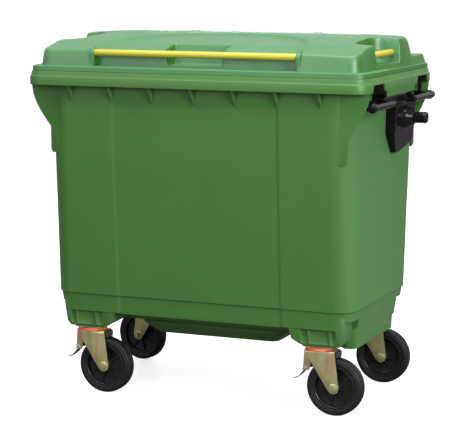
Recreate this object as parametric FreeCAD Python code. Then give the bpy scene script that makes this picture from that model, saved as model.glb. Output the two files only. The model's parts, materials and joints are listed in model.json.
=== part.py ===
import FreeCAD, Part
import math
import os

# Four-wheeled waste container with a domed hinged lid, side trunnions and swivel casters.
# Every length is in millimetres. The origin is on the floor below the middle of the rim,
# +X is the container's right-hand side, -Y is its front and +Z is up.

# ---------------------------------------------------------------- driving dimensions
WALL = 5.0
GAP = 0.5
RUNNING = 0.05

# Tub body: (height, half width, half depth, front and rear corner radius) of its outer faces.
BODY_SECTIONS = (
    (296.0, 549.0, 303.0, 62.0, 50.0),
    (356.0, 559.0, 309.0, 66.0, 54.0),
    (366.0, 564.0, 313.0, 70.0, 55.0),
    (868.0, 564.0, 345.0, 80.0, 34.0),
    (1060.0, 564.0, 349.0, 80.0, 32.0),
    (1158.0, 564.0, 350.0, 80.0, 32.0),
)
FLOOR_THICKNESS = 6.0
MOUTH_EXTRA = 60.0

# Rim collar around the mouth.
RIM_HALF_X = 631.0
RIM_HALF_Y = 386.0
RIM_RADIUS = 58.0
RIM_BOTTOM = 1108.0
RIM_RIDGE = 1138.0
RIM_TOP = 1158.0
RIM_LEAN = 6.0
SIDE_SKIRT_BOTTOM = 1087.0
SIDE_SKIRT_HALF = 155.0

# Windows in the collar's sides, open at the bottom, one pair per side.
WINDOW_TOP = 1134.0
WINDOW_TOP_Y = (190.0, 305.0)
WINDOW_LOW_Y = (155.0, 335.0)

# Gussets below the collar and fins on the corners.
GUSSET_PITCH = 154.0
GUSSETS_EACH_SIDE = 3
GUSSET_HEIGHT = 56.0
RIB = 5.0
FIN_BEND_Z = 985.0
FIN_LOW_Z = 865.0
FRONT_FIN = (554.0, -335.0)
REAR_FIN = (573.0, 338.0)

# Under-body: sump, caster blocks and side skirts.
SUMP_SECTIONS = ((208.0, 234.0, 150.0, 30.0), (250.0, 277.0, 195.0, 40.0), (304.0, 290.0, 203.0, 45.0))
FLOOR_STEP_SECTIONS = ((264.0, 352.0, 205.0, 30.0), (304.0, 360.0, 209.0, 33.0))
BLOCK_SECTIONS = (
    (240.0, 512.0, 293.0, 10.0), (256.0, 522.0, 299.0, 12.0),
    (304.0, 530.0, 301.0, 14.0), (345.0, 534.0, 302.0, 14.0),
)
BLOCK_SLOPE = ((380.0, 240.0), (342.0, 262.0), (315.0, 300.0))
BLOCK_INNER_Y = 196.0
SKIRT_PLAN = (
    (470.0, -168.0), (505.0, -205.0), (546.0, -205.0), (546.0, 200.0),
    (497.0, 200.0), (497.0, 120.0), (470.0, 80.0),
)
SKIRT_BOTTOM = 220.0
# The body's lower corners are cut up to this height outside the blocks, from this x and y on.
ARCHWAY = (524.0, 205.0, 330.0)

# Lid.
LID_BASE = 1159.0
LID_FLANGE_TOP = 1176.0
LID_HALF_X = 622.0
LID_HALF_Y = 378.0
LID_WALL = 4.0
DOME_BASE_HALF_X = 592.0
DOME_TOP_HALF_X = 576.0
DOME_TOP = 1300.0
DOME_FRONT_Y = -352.0
DOME_REAR_Y = 371.0
DOME_RADIUS = 45.0
# Side profile of the dome as (y, z): front wall, steep front facet, crowned roof, rear shelf.
ROOF_PROFILE = (
    (-352.0, 1165.0), (-340.0, 1236.0), (-225.0, 1262.0), (-100.0, 1272.0), (0.0, 1278.0), (100.0, 1282.0),
    (190.0, 1281.0), (232.0, 1276.0), (254.0, 1262.0), (268.0, 1205.0), (364.0, 1205.0), (371.0, 1165.0),
)
FRONT_RECESS_HALF = 384.0
FRONT_RECESS_Y = -312.0
RECESS_FLOOR = 1180.0
HAND_POCKET_HALF = 102.0
HAND_POCKET_Y = -232.0
HAND_POCKET_FLOOR = 1184.0
SIDE_POCKET_CENTRE = (585.0, -66.0)
SIDE_POCKET_HALF = (75.0, 112.0)
SIDE_POCKET_RADIUS = 50.0
SIDE_POCKET_FLOOR = 1192.0
ARCH_HALF_X = 378.0
ARCH_TIP_Y = 45.0
ARCH_FOOT_Y = -300.0
ARCH_DEPTH = 7.0
STOP_X = 242.0
STOP_Y = 222.0
STOP_SIZE = (40.0, 14.0, 1285.0)

# Grip bars on the lid.
FRONT_BAR_RADIUS = 12.0
FRONT_BAR_Y = -338.0
FRONT_BAR_Z = 1223.0
SIDE_BAR_RADIUS = 11.0
SIDE_BAR_X = 578.0
SIDE_BAR_Z = 1225.0
SPIGOT_RADIUS = 7.0
SPIGOT_LENGTH = 10.0

# Lid hinge.
HINGE_Y = 372.0
HINGE_Z = 1200.0
HINGE_X = 330.0
HINGE_PIN_RADIUS = 6.0
KNUCKLE_RADIUS = 13.0
LUG_THICKNESS = 14.0
LUG_GAP_HALF = 24.0
NOTCH_HALF = LUG_GAP_HALF + LUG_THICKNESS + 3.0
NOTCH_Y = 336.0

# Side brackets with D-shaped handles and lifting trunnions.
BRACKET_X = 565.0
BEAM_OUT_X = 612.0
BEAM_Z = (1047.0, 1086.0)
BEAM_HALF_Y = 331.0
HANDLE_X = 638.0
HANDLE_Z = 1060.0
HANDLE_RADIUS = 12.0
ARM_RADIUS = 10.5
FRONT_HANDLE_Y = (-338.0, -115.0)
LEFT_FRONT_HANDLE_Y = (-243.0, -115.0)
REAR_HANDLE_Y = (115.0, 350.0)
ARM_Y = (127.0, 320.0)
LEFT_FRONT_ARM_Y = (127.0, 231.0)
NECK_X = (600.0, 612.0)
NECK_TOP = 1128.0
NECK_Y = (176.0, 296.0)
SHIELD_X = 602.0
SHIELD_OUTLINE = (
    (28.0, 1050.0), (258.0, 1050.0), (258.0, 906.0), (246.0, 895.0),
    (124.0, 870.0), (80.0, 886.0), (28.0, 941.0),
)
SHIELD_TAPER = ((603.0, 968.0), (585.0, 868.0), (640.0, 860.0), (640.0, 968.0))
TRUNNION_Y = 130.0
TRUNNION_Z = 994.0
TRUNNION_TIP_X = 685.0
TRUNNION_LENGTH = 45.0
TRUNNION_RADIUS = 20.0
TRUNNION_SPIGOT_RADIUS = 16.0
BOSS_BASE_RADIUS = 44.0
BOSS_TOP_RADIUS = 24.0
BRACKET_BOLTS = ((-255.0, 1066.0), (-60.0, 1066.0), (290.0, 1066.0), (62.0, 940.0), (225.0, 940.0))
BRACKET_BOLT_RADIUS = 5.0

# Casters: swivel axes, wheel, fork, plate.
CASTER_X = 436.0
CASTER_Y = 261.0
MOUNT_Z = 240.0
WHEEL_RADIUS = 100.0
TRAIL = 56.0
TYRE_HALF = 24.0
TYRE_INNER = 76.0
HUB_RADIUS = 21.0
HUB_HALF = 27.5
BUSH_RADIUS = 10.0
AXLE_RADIUS = 6.0
FORK_INNER = 29.0
FORK_THICKNESS = 3.5
CROWN_TOP = 227.0
CROWN_THICKNESS = 4.0
CROWN_X = (-43.0, 60.0)
# One fork leg as (x, z) points around it, from the crown's front corner to the axle boss and back.
LEG_OUTLINE = (
    (-43.0, 227.0), (60.0, 227.0), (62.0, 214.0), (76.3, 103.0),
    (38.6, 88.6), (-20.0, 178.0), (-36.0, 205.0), (-43.0, 212.0),
)
BOSS_RADIUS = 20.5
PLATE_HALF = (52.5, 36.0)
PLATE_THICKNESS = 3.0
PLATE_BOLT_X = 35.0
PLATE_BOLT_Y = 19.0
PLATE_BOLT_RADIUS = 4.0
RACE_OUTER = 31.0
RACE_INNER = 17.0
BALL_RADIUS = 2.95
BALL_RING = 24.0
BALL_COUNT = 16
RACE_BOTTOM = 233.0
KINGPIN_RADIUS = 6.0
RED_RING = (48.5, 52.0, 227.1, 236.4)

# Brake on the front casters.
PEDAL_PIVOT = (-46.0, 163.0)
PEDAL_TIP = (-92.0, 114.0)
PEDAL_HALF = 17.0
PEDAL_THICKNESS = 5.0
PEDAL_HUB_RADIUS = 8.0
PIVOT_RADIUS = 4.0
BRACKET_HALF = 22.0
SHOE_X = (44.0, 69.0)
SHOE_Z = (204.0, 222.0)
SHOE_HALF = 24.0
SHOE_ARM_Z = (207.0, 211.5)

# Drain plug in the middle of the sump.
DRAIN_RADIUS = 25.0
DRAIN_FLANGE_RADIUS = 34.0
SEAL_THICKNESS = 3.0

X_AXIS = FreeCAD.Vector(1, 0, 0)
Y_AXIS = FreeCAD.Vector(0, 1, 0)
Z_AXIS = FreeCAD.Vector(0, 0, 1)
# Each caster: swivel axis, whether it has a brake, and the heading of its trail in degrees from +X.
CASTERS = {
    "front_left": (-CASTER_X, -CASTER_Y, True, 0.0),
    "front_right": (CASTER_X, -CASTER_Y, True, 0.0),
    "rear_left": (-CASTER_X, CASTER_Y, False, 170.0),
    "rear_right": (CASTER_X, CASTER_Y, False, 0.0),
}


# ---------------------------------------------------------------- shape helpers
def vec(x, y, z):
    return FreeCAD.Vector(x, y, z)


def box(x0, x1, y0, y1, z0, z1):
    """A box between two corners."""
    return Part.makeBox(x1 - x0, y1 - y0, z1 - z0, vec(x0, y0, z0))


def rod(radius, start, axis, length):
    """A round bar from its start point along an axis."""
    return Part.makeCylinder(radius, length, start, axis)


def tube(outer, inner, start, axis, length):
    return rod(outer, start, axis, length).cut(rod(inner, start - axis, axis, length + 2))


def prism(points, direction):
    """A closed polygon of 3-D points, pushed along a direction."""
    return Part.Face(Part.makePolygon([*points, points[0]])).extrude(direction)


def prism_xz(points, y0, y1):
    """A polygon given as (x, z) pairs, between two y planes."""
    return prism([vec(x, y0, z) for x, z in points], vec(0, y1 - y0, 0))


def prism_yz(points, x0, x1):
    """A polygon given as (y, z) pairs, between two x planes."""
    return prism([vec(x0, y, z) for y, z in points], vec(x1 - x0, 0, 0))


def rounded_wire(half_x, half_y, front_radius, rear_radius, z, centre=(0.0, 0.0)):
    """A rectangle with round corners in a level plane."""
    cx, cy = centre
    edges = []
    corners = ((1, 1, 0), (-1, 1, 90), (-1, -1, 180), (1, -1, 270))
    arcs = []
    for sx, sy, first in corners:
        radius = rear_radius if sy > 0 else front_radius
        ox = cx + sx * (half_x - radius)
        oy = cy + sy * (half_y - radius)
        turn = [math.radians(first + step) for step in (0, 45, 90)]
        arcs.append([vec(ox + radius * math.cos(a), oy + radius * math.sin(a), z) for a in turn])
    for index, points in enumerate(arcs):
        edges.append(Part.Arc(*points).toShape())
        edges.append(Part.makeLine(points[2], arcs[(index + 1) % 4][0]))
    return Part.Wire(edges)


def loft(sections, inset=0.0, centre=(0.0, 0.0)):
    """A solid through level rounded rectangles (z, half x, half y, radius, rear radius), moved in by inset."""
    wires = []
    for z, hx, hy, front, *rear in sections:
        radii = [value - inset for value in (front, *(rear or [front]))]
        wires.append(rounded_wire(hx - inset, hy - inset, *radii, z, centre))
    return Part.makeLoft(wires, True, True)


def union(shapes):
    first, *rest = shapes
    return first.multiFuse(rest).removeSplitter() if rest else first


def flip_x(shape):
    return shape.mirror(vec(0, 0, 0), X_AXIS)


def flip_y(shape):
    return shape.mirror(vec(0, 0, 0), Y_AXIS)


def four_corners(shape):
    """The shape and its mirror images in the other three quarters."""
    half = [shape, flip_x(shape)]
    return half + [flip_y(one) for one in half]


def hexagon(radius, start, axis, length):
    """A hexagonal head or nut, radius to its corners."""
    side = X_AXIS if abs(axis.x) < 0.5 else Y_AXIS
    other = axis.cross(side)
    angles = [math.radians(60 * k) for k in range(6)]
    points = [start + side * (radius * math.cos(a)) + other * (radius * math.sin(a)) for a in angles]
    return prism(points, axis * length)


def save(name, shape):
    """Check that every solid is sound and write the node's STEP file."""
    solids = shape.Solids
    if not solids or not all(one.isValid() and one.isClosed() for one in solids):
        raise RuntimeError(name + " is not a set of closed solids")
    body = solids[0] if len(solids) == 1 else Part.makeCompound(solids)
    body.exportStep(os.path.join("parts", name + ".step"))
    print(name, len(solids), "solids", round(sum(one.Volume for one in solids) / 1000.0, 1), "cm3")


# ---------------------------------------------------------------- tub
def cavity_sections():
    """The body's sections, lowest one raised by the floor's thickness, highest one carried past the mouth."""
    first, *middle, last = BODY_SECTIONS
    return [(first[0] + FLOOR_THICKNESS, *first[1:]), *middle, (last[0] + MOUTH_EXTRA, *last[1:])]


def caster_block(inset):
    """One hollow block that carries a caster, in the +X -Y quarter."""
    sections = [(z + inset if z < 250 else z, hx, hy, r) for z, hx, hy, r in BLOCK_SECTIONS]
    slope = [(x + inset, z) for x, z in BLOCK_SLOPE]
    low, mid, high = slope
    outline = [(low[0], 230.0), low, mid, high, (high[0], 310.0), (560.0, 310.0), (560.0, 230.0)]
    zone = prism_xz(outline, -320.0, -BLOCK_INNER_Y - inset)
    return loft(sections, inset).common(zone)


def side_skirt(inset):
    """The hollow skirt between the caster blocks, on the right-hand side."""
    cx = sum(x for x, _ in SKIRT_PLAN) / len(SKIRT_PLAN)
    cy = sum(y for _, y in SKIRT_PLAN) / len(SKIRT_PLAN)
    points = []
    for x, y in SKIRT_PLAN:
        dx = math.copysign(inset, cx - x)
        dy = math.copysign(inset, cy - y)
        points.append(vec(x + dx, y + dy, SKIRT_BOTTOM + inset))
    return prism(points, vec(0, 0, 304.0 - SKIRT_BOTTOM - inset))


def basin(sections, inset):
    """A tub-shaped solid through sections, its lowest level raised by inset as well."""
    low, *rest = sections
    return loft([(low[0] + inset, *low[1:]), *rest], inset)


def under_body(inset):
    """Sump, shallow floor step, four blocks and two skirts, as one list of solids."""
    skirt = side_skirt(inset)
    basins = [basin(SUMP_SECTIONS, inset), basin(FLOOR_STEP_SECTIONS, inset)]
    return [*basins, skirt, flip_x(skirt), *four_corners(caster_block(inset))]


def rim_collar():
    """The collar: a top plate and a skirt around it, lower at the sides, with windows."""
    outer = loft((
        (RIM_BOTTOM, RIM_HALF_X, RIM_HALF_Y, RIM_RADIUS),
        (RIM_RIDGE, RIM_HALF_X, RIM_HALF_Y, RIM_RADIUS),
        (RIM_TOP, RIM_HALF_X - RIM_LEAN, RIM_HALF_Y - RIM_LEAN, RIM_RADIUS - RIM_LEAN),
    ))
    hollow = loft((
        (RIM_BOTTOM - 1, RIM_HALF_X, RIM_HALF_Y, RIM_RADIUS),
        (RIM_RIDGE, RIM_HALF_X, RIM_HALF_Y, RIM_RADIUS),
        (RIM_TOP - WALL, RIM_HALF_X - RIM_LEAN, RIM_HALF_Y - RIM_LEAN, RIM_RADIUS - RIM_LEAN),
    ), WALL)
    collar = outer.cut(hollow)
    skirt = box(RIM_HALF_X - WALL, RIM_HALF_X, -SIDE_SKIRT_HALF, SIDE_SKIRT_HALF, SIDE_SKIRT_BOTTOM, RIM_RIDGE)
    collar = union([collar, skirt, flip_x(skirt)])
    outline = [
        (WINDOW_LOW_Y[0], SIDE_SKIRT_BOTTOM - 20), (WINDOW_TOP_Y[0], WINDOW_TOP),
        (WINDOW_TOP_Y[1], WINDOW_TOP), (WINDOW_LOW_Y[1], RIM_BOTTOM - 5), (WINDOW_LOW_Y[1], SIDE_SKIRT_BOTTOM - 20),
    ]
    window = prism_yz(outline, RIM_HALF_X - 2 * WALL, RIM_HALF_X + WALL)
    for cutter in four_corners(window):
        collar = collar.cut(cutter)
    return collar


def gusset(x):
    """A triangular rib below the collar's front."""
    wall_y = -BODY_SECTIONS[-2][2] + WALL / 2
    edge_y = -RIM_HALF_Y + WALL / 2
    points = [
        vec(x - RIB / 2, wall_y, RIM_BOTTOM - GUSSET_HEIGHT), vec(x - RIB / 2, wall_y, RIM_TOP - WALL / 2),
        vec(x - RIB / 2, edge_y, RIM_TOP - WALL / 2), vec(x - RIB / 2, edge_y, RIM_BOTTOM),
    ]
    return prism(points, vec(RIB, 0, 0))


def corner_fin(place):
    """The plate that carries one right-hand corner of the collar down to the body."""
    out_x, y = place
    rim_x = RIM_HALF_X - WALL / 2
    outline = [
        (500.0, RIM_BOTTOM + 20), (rim_x, RIM_BOTTOM + 20), (rim_x, RIM_BOTTOM),
        (out_x, FIN_BEND_Z), (out_x, FIN_LOW_Z), (500.0, FIN_LOW_Z),
    ]
    return prism_xz(outline, y - RIB / 2, y + RIB / 2)


def archways(grow):
    """Boxes over the body's four lower corners, outside the caster blocks."""
    x, y, z = ARCHWAY
    return four_corners(box(x - grow, 600.0, -400.0, -y + grow, 280.0, z + grow))


def hinge_lugs():
    """The tub's two lugs of the right-hand hinge station, standing on the rim."""
    post = box(0, LUG_THICKNESS, HINGE_Y - KNUCKLE_RADIUS, HINGE_Y + KNUCKLE_RADIUS, RIM_TOP - WALL / 2, HINGE_Z)
    eye = rod(KNUCKLE_RADIUS, vec(0, HINGE_Y, HINGE_Z), X_AXIS, LUG_THICKNESS)
    bore = rod(HINGE_PIN_RADIUS + RUNNING, vec(-1, HINGE_Y, HINGE_Z), X_AXIS, LUG_THICKNESS + 2)
    lug = union([post, eye]).cut(bore)
    offsets = (HINGE_X + LUG_GAP_HALF, HINGE_X - LUG_GAP_HALF - LUG_THICKNESS)
    return [lug.translated(vec(x, 0, 0)) for x in offsets]


def caster_bolt_places():
    return [
        (cx + dx, cy + dy)
        for cx, cy, *_ in CASTERS.values()
        for dx in (-PLATE_BOLT_X, PLATE_BOLT_X)
        for dy in (-PLATE_BOLT_Y, PLATE_BOLT_Y)
    ]


def tub():
    """The moulded body with its collar, ribs, under-body and every bolt hole."""
    body = loft(BODY_SECTIONS)
    cavity = loft(cavity_sections(), WALL)
    for outside, inside in zip(archways(0.0), archways(WALL)):
        body = body.cut(outside)
        cavity = cavity.cut(inside)
    outer = union([body, rim_collar(), *under_body(0.0)])
    ribs = [gusset(k * GUSSET_PITCH) for k in range(-GUSSETS_EACH_SIDE, GUSSETS_EACH_SIDE + 1)]
    ribs += [flip_y(one) for one in ribs]
    right = [corner_fin(FRONT_FIN), corner_fin(REAR_FIN), *hinge_lugs()]
    extras = ribs + right + [flip_x(one) for one in right]
    outer = union([outer, *extras])
    shell = outer.cut(union([cavity, *under_body(WALL)]))
    cutters = [rod(DRAIN_RADIUS, vec(0, 0, 200), Z_AXIS, 60)]
    for x, y in caster_bolt_places():
        cutters.append(rod(PLATE_BOLT_RADIUS + RUNNING, vec(x, y, MOUNT_Z - 5), Z_AXIS, 20))
    for y, z in BRACKET_BOLTS:
        hole = rod(BRACKET_BOLT_RADIUS + RUNNING, vec(BRACKET_X - 30, y, z), X_AXIS, 40)
        cutters += [hole, flip_x(hole)]
    for cutter in cutters:
        shell = shell.cut(cutter)
    return shell


# ---------------------------------------------------------------- lid
def dome(inset):
    """The dome as a profile across the lid, cut to a tapered plan with round corners."""
    low, high = ROOF_PROFILE[0][1], ROOF_PROFILE[1][1]
    points = []
    for y, z in ROOF_PROFILE:
        shift = inset if y < -230 else (-inset if y > 230 else 0.0)
        drop = inset if z > high - 40 else 0.0
        points.append((y + shift, z - drop))
    points[0] = (points[0][0], LID_BASE - (1 if inset else 0))
    points[-1] = (points[-1][0], LID_BASE - (1 if inset else 0))
    body = prism_yz(points, -DOME_BASE_HALF_X, DOME_BASE_HALF_X)
    centre = (0.0, (DOME_FRONT_Y + DOME_REAR_Y) / 2)
    half_y = (DOME_REAR_Y - DOME_FRONT_Y) / 2
    plan = loft((
        (low - 20, DOME_BASE_HALF_X, half_y, DOME_RADIUS),
        (DOME_TOP, DOME_TOP_HALF_X, half_y, DOME_RADIUS),
    ), inset, centre)
    return body.common(plan)


def arch_recess():
    """The shallow arched field on the roof, as a cutter."""
    arc = Part.Ellipse(vec(0, ARCH_FOOT_Y, 0), ARCH_HALF_X, ARCH_TIP_Y - ARCH_FOOT_Y).toShape()
    face = Part.Face(Part.Wire([arc]))
    column = face.extrude(vec(0, 0, 400)).translated(vec(0, 0, LID_BASE))
    roof = [(y, z - ARCH_DEPTH) for y, z in ROOF_PROFILE[1:7]]
    above = prism_yz([*roof, (roof[-1][0], DOME_TOP + 50), (roof[0][0], DOME_TOP + 50)], -ARCH_HALF_X, ARCH_HALF_X)
    return column.common(above)


def lid_cutters(grow):
    """Recesses of the lid: the front grip recess, the hand pocket, side pockets and hinge notches."""
    top = DOME_TOP + 20
    front = box(-FRONT_RECESS_HALF - grow, FRONT_RECESS_HALF + grow, DOME_FRONT_Y - 20,
                FRONT_RECESS_Y + grow, RECESS_FLOOR - grow, top)
    hand = box(-HAND_POCKET_HALF - grow, HAND_POCKET_HALF + grow, FRONT_RECESS_Y - 1,
               HAND_POCKET_Y + grow, HAND_POCKET_FLOOR - grow, top)
    radius = SIDE_POCKET_RADIUS + grow
    wire = rounded_wire(SIDE_POCKET_HALF[0] + grow, SIDE_POCKET_HALF[1] + grow, radius, radius,
                        SIDE_POCKET_FLOOR - grow, SIDE_POCKET_CENTRE)
    side = Part.Face(wire).extrude(vec(0, 0, top - SIDE_POCKET_FLOOR))
    notch = box(HINGE_X - NOTCH_HALF - grow, HINGE_X + NOTCH_HALF + grow, NOTCH_Y - grow,
                LID_HALF_Y + 20, LID_BASE - 5, top)
    return [front, hand, side, flip_x(side), notch, flip_x(notch)]


def lid_knuckle():
    """The lid's own eye of the right-hand hinge station, on a short arm."""
    half = LUG_GAP_HALF - 2.0
    arm = box(HINGE_X - half, HINGE_X + half, NOTCH_Y - 6, HINGE_Y, HINGE_Z - 11, HINGE_Z + 4)
    eye = rod(KNUCKLE_RADIUS - 1, vec(HINGE_X - half, HINGE_Y, HINGE_Z), X_AXIS, 2 * half)
    bore = rod(HINGE_PIN_RADIUS + RUNNING, vec(HINGE_X - half - 1, HINGE_Y, HINGE_Z), X_AXIS, 2 * half + 2)
    return arm.fuse(eye).cut(bore)


def lid():
    """The lid's shell with its pockets, notches, knuckles and stops."""
    flange = loft((
        (LID_BASE, LID_HALF_X, LID_HALF_Y, 52.0),
        (LID_FLANGE_TOP, LID_HALF_X - 4, LID_HALF_Y - 4, 48.0),
    ))
    outer = union([dome(0.0), flange])
    for cutter in lid_cutters(0.0) + [arch_recess()]:
        outer = outer.cut(cutter)
    cavity = dome(LID_WALL)
    for cutter in lid_cutters(LID_WALL) + [arch_recess().translated(vec(0, 0, -LID_WALL))]:
        cavity = cavity.cut(cutter)
    shell = outer.cut(cavity)
    stop = box(STOP_X - STOP_SIZE[0] / 2, STOP_X + STOP_SIZE[0] / 2, STOP_Y - STOP_SIZE[1] / 2,
               STOP_Y + STOP_SIZE[1] / 2, DOME_TOP - 26, STOP_SIZE[2])
    eye = lid_knuckle()
    shell = union([shell, stop, flip_x(stop), eye, flip_x(eye)])
    for cutter in bar_spigots(RUNNING):
        shell = shell.cut(cutter)
    return shell


def bar_spigots(clearance):
    """The round ends of all three grip bars, grown by a clearance."""
    reach = FRONT_RECESS_HALF + SPIGOT_LENGTH
    front = rod(SPIGOT_RADIUS + clearance, vec(-reach, FRONT_BAR_Y, FRONT_BAR_Z), X_AXIS, 2 * reach)
    y0 = SIDE_POCKET_CENTRE[1] - SIDE_POCKET_HALF[1] - SPIGOT_LENGTH
    length = 2 * (SIDE_POCKET_HALF[1] + SPIGOT_LENGTH)
    side = rod(SPIGOT_RADIUS + clearance, vec(SIDE_BAR_X, y0, SIDE_BAR_Z), Y_AXIS, length)
    return [front, side, flip_x(side)]


def front_grip_bar():
    half = FRONT_RECESS_HALF - GAP
    bar = rod(FRONT_BAR_RADIUS, vec(-half, FRONT_BAR_Y, FRONT_BAR_Z), X_AXIS, 2 * half)
    return bar.fuse(bar_spigots(0.0)[0]).removeSplitter()


def side_grip_bar():
    half = SIDE_POCKET_HALF[1] - GAP
    bar = rod(SIDE_BAR_RADIUS, vec(SIDE_BAR_X, SIDE_POCKET_CENTRE[1] - half, SIDE_BAR_Z), Y_AXIS, 2 * half)
    return bar.fuse(bar_spigots(0.0)[1]).removeSplitter()


def hinge_pin():
    """The right-hand hinge pin with a head at its inner end."""
    half = LUG_GAP_HALF + LUG_THICKNESS
    shaft = rod(HINGE_PIN_RADIUS, vec(HINGE_X - half - 2, HINGE_Y, HINGE_Z), X_AXIS, 2 * half + 2)
    head = rod(HINGE_PIN_RADIUS + 2, vec(HINGE_X - half - 2.6, HINGE_Y, HINGE_Z), X_AXIS, 2.4)
    return shaft.fuse(head).removeSplitter()


# ---------------------------------------------------------------- side brackets
def d_handle(sign, reach, arms):
    """One handle: an outer bar, two arms to the beam and two necks up into the window."""
    low, high = reach
    bar = rod(HANDLE_RADIUS, vec(HANDLE_X, low, HANDLE_Z), Y_AXIS, high - low)
    pieces = [bar]
    for y in arms:
        pieces.append(rod(ARM_RADIUS, vec(BRACKET_X + 1, sign * y, HANDLE_Z), X_AXIS, HANDLE_X - BRACKET_X - 1))
    for y in NECK_Y:
        pieces.append(box(*NECK_X, sign * y - 8, sign * y + 8, BEAM_Z[0] + 5, NECK_TOP))
    return pieces


def side_bracket(front_reach, front_arms):
    """A bracket in the right-hand position: beam, handles, shield and trunnion boss."""
    beam = box(BRACKET_X, BEAM_OUT_X, -BEAM_HALF_Y, BEAM_HALF_Y, *BEAM_Z)
    shield = prism_yz(SHIELD_OUTLINE, BRACKET_X, SHIELD_X).cut(prism_xz(SHIELD_TAPER, -50.0, 300.0))
    centre = vec(SHIELD_X - 2, TRUNNION_Y, TRUNNION_Z)
    length = TRUNNION_TIP_X - TRUNNION_LENGTH - SHIELD_X + 2
    boss = Part.makeCone(BOSS_BASE_RADIUS, BOSS_TOP_RADIUS, length, centre, X_AXIS)
    handles = [*d_handle(-1, front_reach, front_arms), *d_handle(1, REAR_HANDLE_Y, ARM_Y)]
    body = union([beam, shield, boss, *handles])
    bore = rod(TRUNNION_SPIGOT_RADIUS + RUNNING, vec(BRACKET_X + 2, TRUNNION_Y, TRUNNION_Z), X_AXIS, 100)
    body = body.cut(bore)
    for y, z in BRACKET_BOLTS:
        body = body.cut(rod(BRACKET_BOLT_RADIUS + RUNNING, vec(BRACKET_X - 1, y, z), X_AXIS, 26))
    return body


def trunnion_pin():
    shoulder = TRUNNION_TIP_X - TRUNNION_LENGTH
    free = rod(TRUNNION_RADIUS, vec(shoulder, TRUNNION_Y, TRUNNION_Z), X_AXIS, TRUNNION_LENGTH)
    start = BRACKET_X + 3
    length = shoulder - start
    spigot = rod(TRUNNION_SPIGOT_RADIUS, vec(start, TRUNNION_Y, TRUNNION_Z), X_AXIS, length)
    return free.fuse(spigot).removeSplitter()


def bracket_bolts():
    """Bolts from the inside of the tub into the right-hand bracket, heads inside."""
    bolts = []
    for y, z in BRACKET_BOLTS:
        shank = rod(BRACKET_BOLT_RADIUS, vec(BRACKET_X - 16, y, z), X_AXIS, 38)
        head = hexagon(9.0, vec(BRACKET_X - 19, y, z), X_AXIS, 6.0)
        washer = rod(11.0, vec(BRACKET_X - 13, y, z), X_AXIS, 1.5)
        bolts.append(union([shank, head, washer]))
    return Part.makeCompound(bolts)


# ---------------------------------------------------------------- casters
def top_plate():
    half_x, half_y = PLATE_HALF
    seat = MOUNT_Z - PLATE_THICKNESS
    plate = box(-half_x, half_x, -half_y, half_y, seat, MOUNT_Z - RUNNING)
    race = tube(RACE_OUTER, RACE_INNER, vec(0, 0, RACE_BOTTOM), Z_AXIS, seat - RACE_BOTTOM + 1)
    body = plate.fuse(race)
    body = body.cut(rod(KINGPIN_RADIUS + RUNNING, vec(0, 0, 200), Z_AXIS, 60))
    for x in (-PLATE_BOLT_X, PLATE_BOLT_X):
        for y in (-PLATE_BOLT_Y, PLATE_BOLT_Y):
            body = body.cut(rod(PLATE_BOLT_RADIUS + RUNNING, vec(x, y, 220), Z_AXIS, 40))
    return body


def kingpin():
    """The swivel pin with a flat head above the crown and a nut below it."""
    pin = rod(KINGPIN_RADIUS, vec(0, 0, 213), Z_AXIS, MOUNT_Z - RUNNING - 213)
    nut = hexagon(11.0, vec(0, 0, 214), Z_AXIS, CROWN_TOP - CROWN_THICKNESS - 214 - 0.3)
    collar = rod(10.0, vec(0, 0, CROWN_TOP + 0.3), Z_AXIS, 6.0)
    return union([pin, nut, collar])


def swivel_balls():
    level = (RACE_BOTTOM + CROWN_TOP) / 2
    turns = [2 * math.pi * k / BALL_COUNT for k in range(BALL_COUNT)]
    balls = [
        Part.makeSphere(BALL_RADIUS, vec(BALL_RING * math.cos(a), BALL_RING * math.sin(a), level)) for a in turns
    ]
    return Part.makeCompound(balls)


def red_ring():
    inner, outer, low, high = RED_RING
    band = tube(outer, inner, vec(0, 0, low), Z_AXIS, high - low)
    lip = tube(inner + 1, RACE_OUTER + 2, vec(0, 0, CROWN_TOP + GAP), Z_AXIS, 2.5)
    return band.fuse(lip).removeSplitter()


def fork_leg(y0, y1):
    """One leg of the fork: wide at the crown, round at the axle."""
    plate = prism_xz(LEG_OUTLINE, y0, y1)
    boss = rod(BOSS_RADIUS, vec(TRAIL, y0, WHEEL_RADIUS), Y_AXIS, y1 - y0)
    return plate.fuse(boss)


def fork(braked):
    """The swivel fork: crown, two legs and, on a braked caster, the pedal's cheeks."""
    outer = FORK_INNER + FORK_THICKNESS
    crown = box(*CROWN_X, -outer, outer, CROWN_TOP - CROWN_THICKNESS, CROWN_TOP)
    pieces = [crown, fork_leg(-outer, -FORK_INNER), fork_leg(FORK_INNER, outer)]
    if braked:
        px, pz = PEDAL_PIVOT
        cheek = [
            (px - 11, pz - 11), (px + 14, pz - 8), (-24.0, 200.0),
            (-24.0, CROWN_TOP), (px - 5, CROWN_TOP), (px - 7, pz + 10),
        ]
        near, far = BRACKET_HALF, BRACKET_HALF + 3
        pieces += [prism_xz(cheek, -far, -near), prism_xz(cheek, near, far)]
        pieces.append(box(px - 5, CROWN_X[0] + 1, -far, far, CROWN_TOP - CROWN_THICKNESS, CROWN_TOP))
    body = union(pieces)
    body = body.cut(rod(KINGPIN_RADIUS + RUNNING, vec(0, 0, 200), Z_AXIS, 60))
    body = body.cut(rod(AXLE_RADIUS + RUNNING, vec(TRAIL, -60, WHEEL_RADIUS), Y_AXIS, 120))
    if braked:
        body = body.cut(rod(PIVOT_RADIUS + RUNNING, vec(PEDAL_PIVOT[0], -60, PEDAL_PIVOT[1]), Y_AXIS, 120))
    return body


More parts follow.
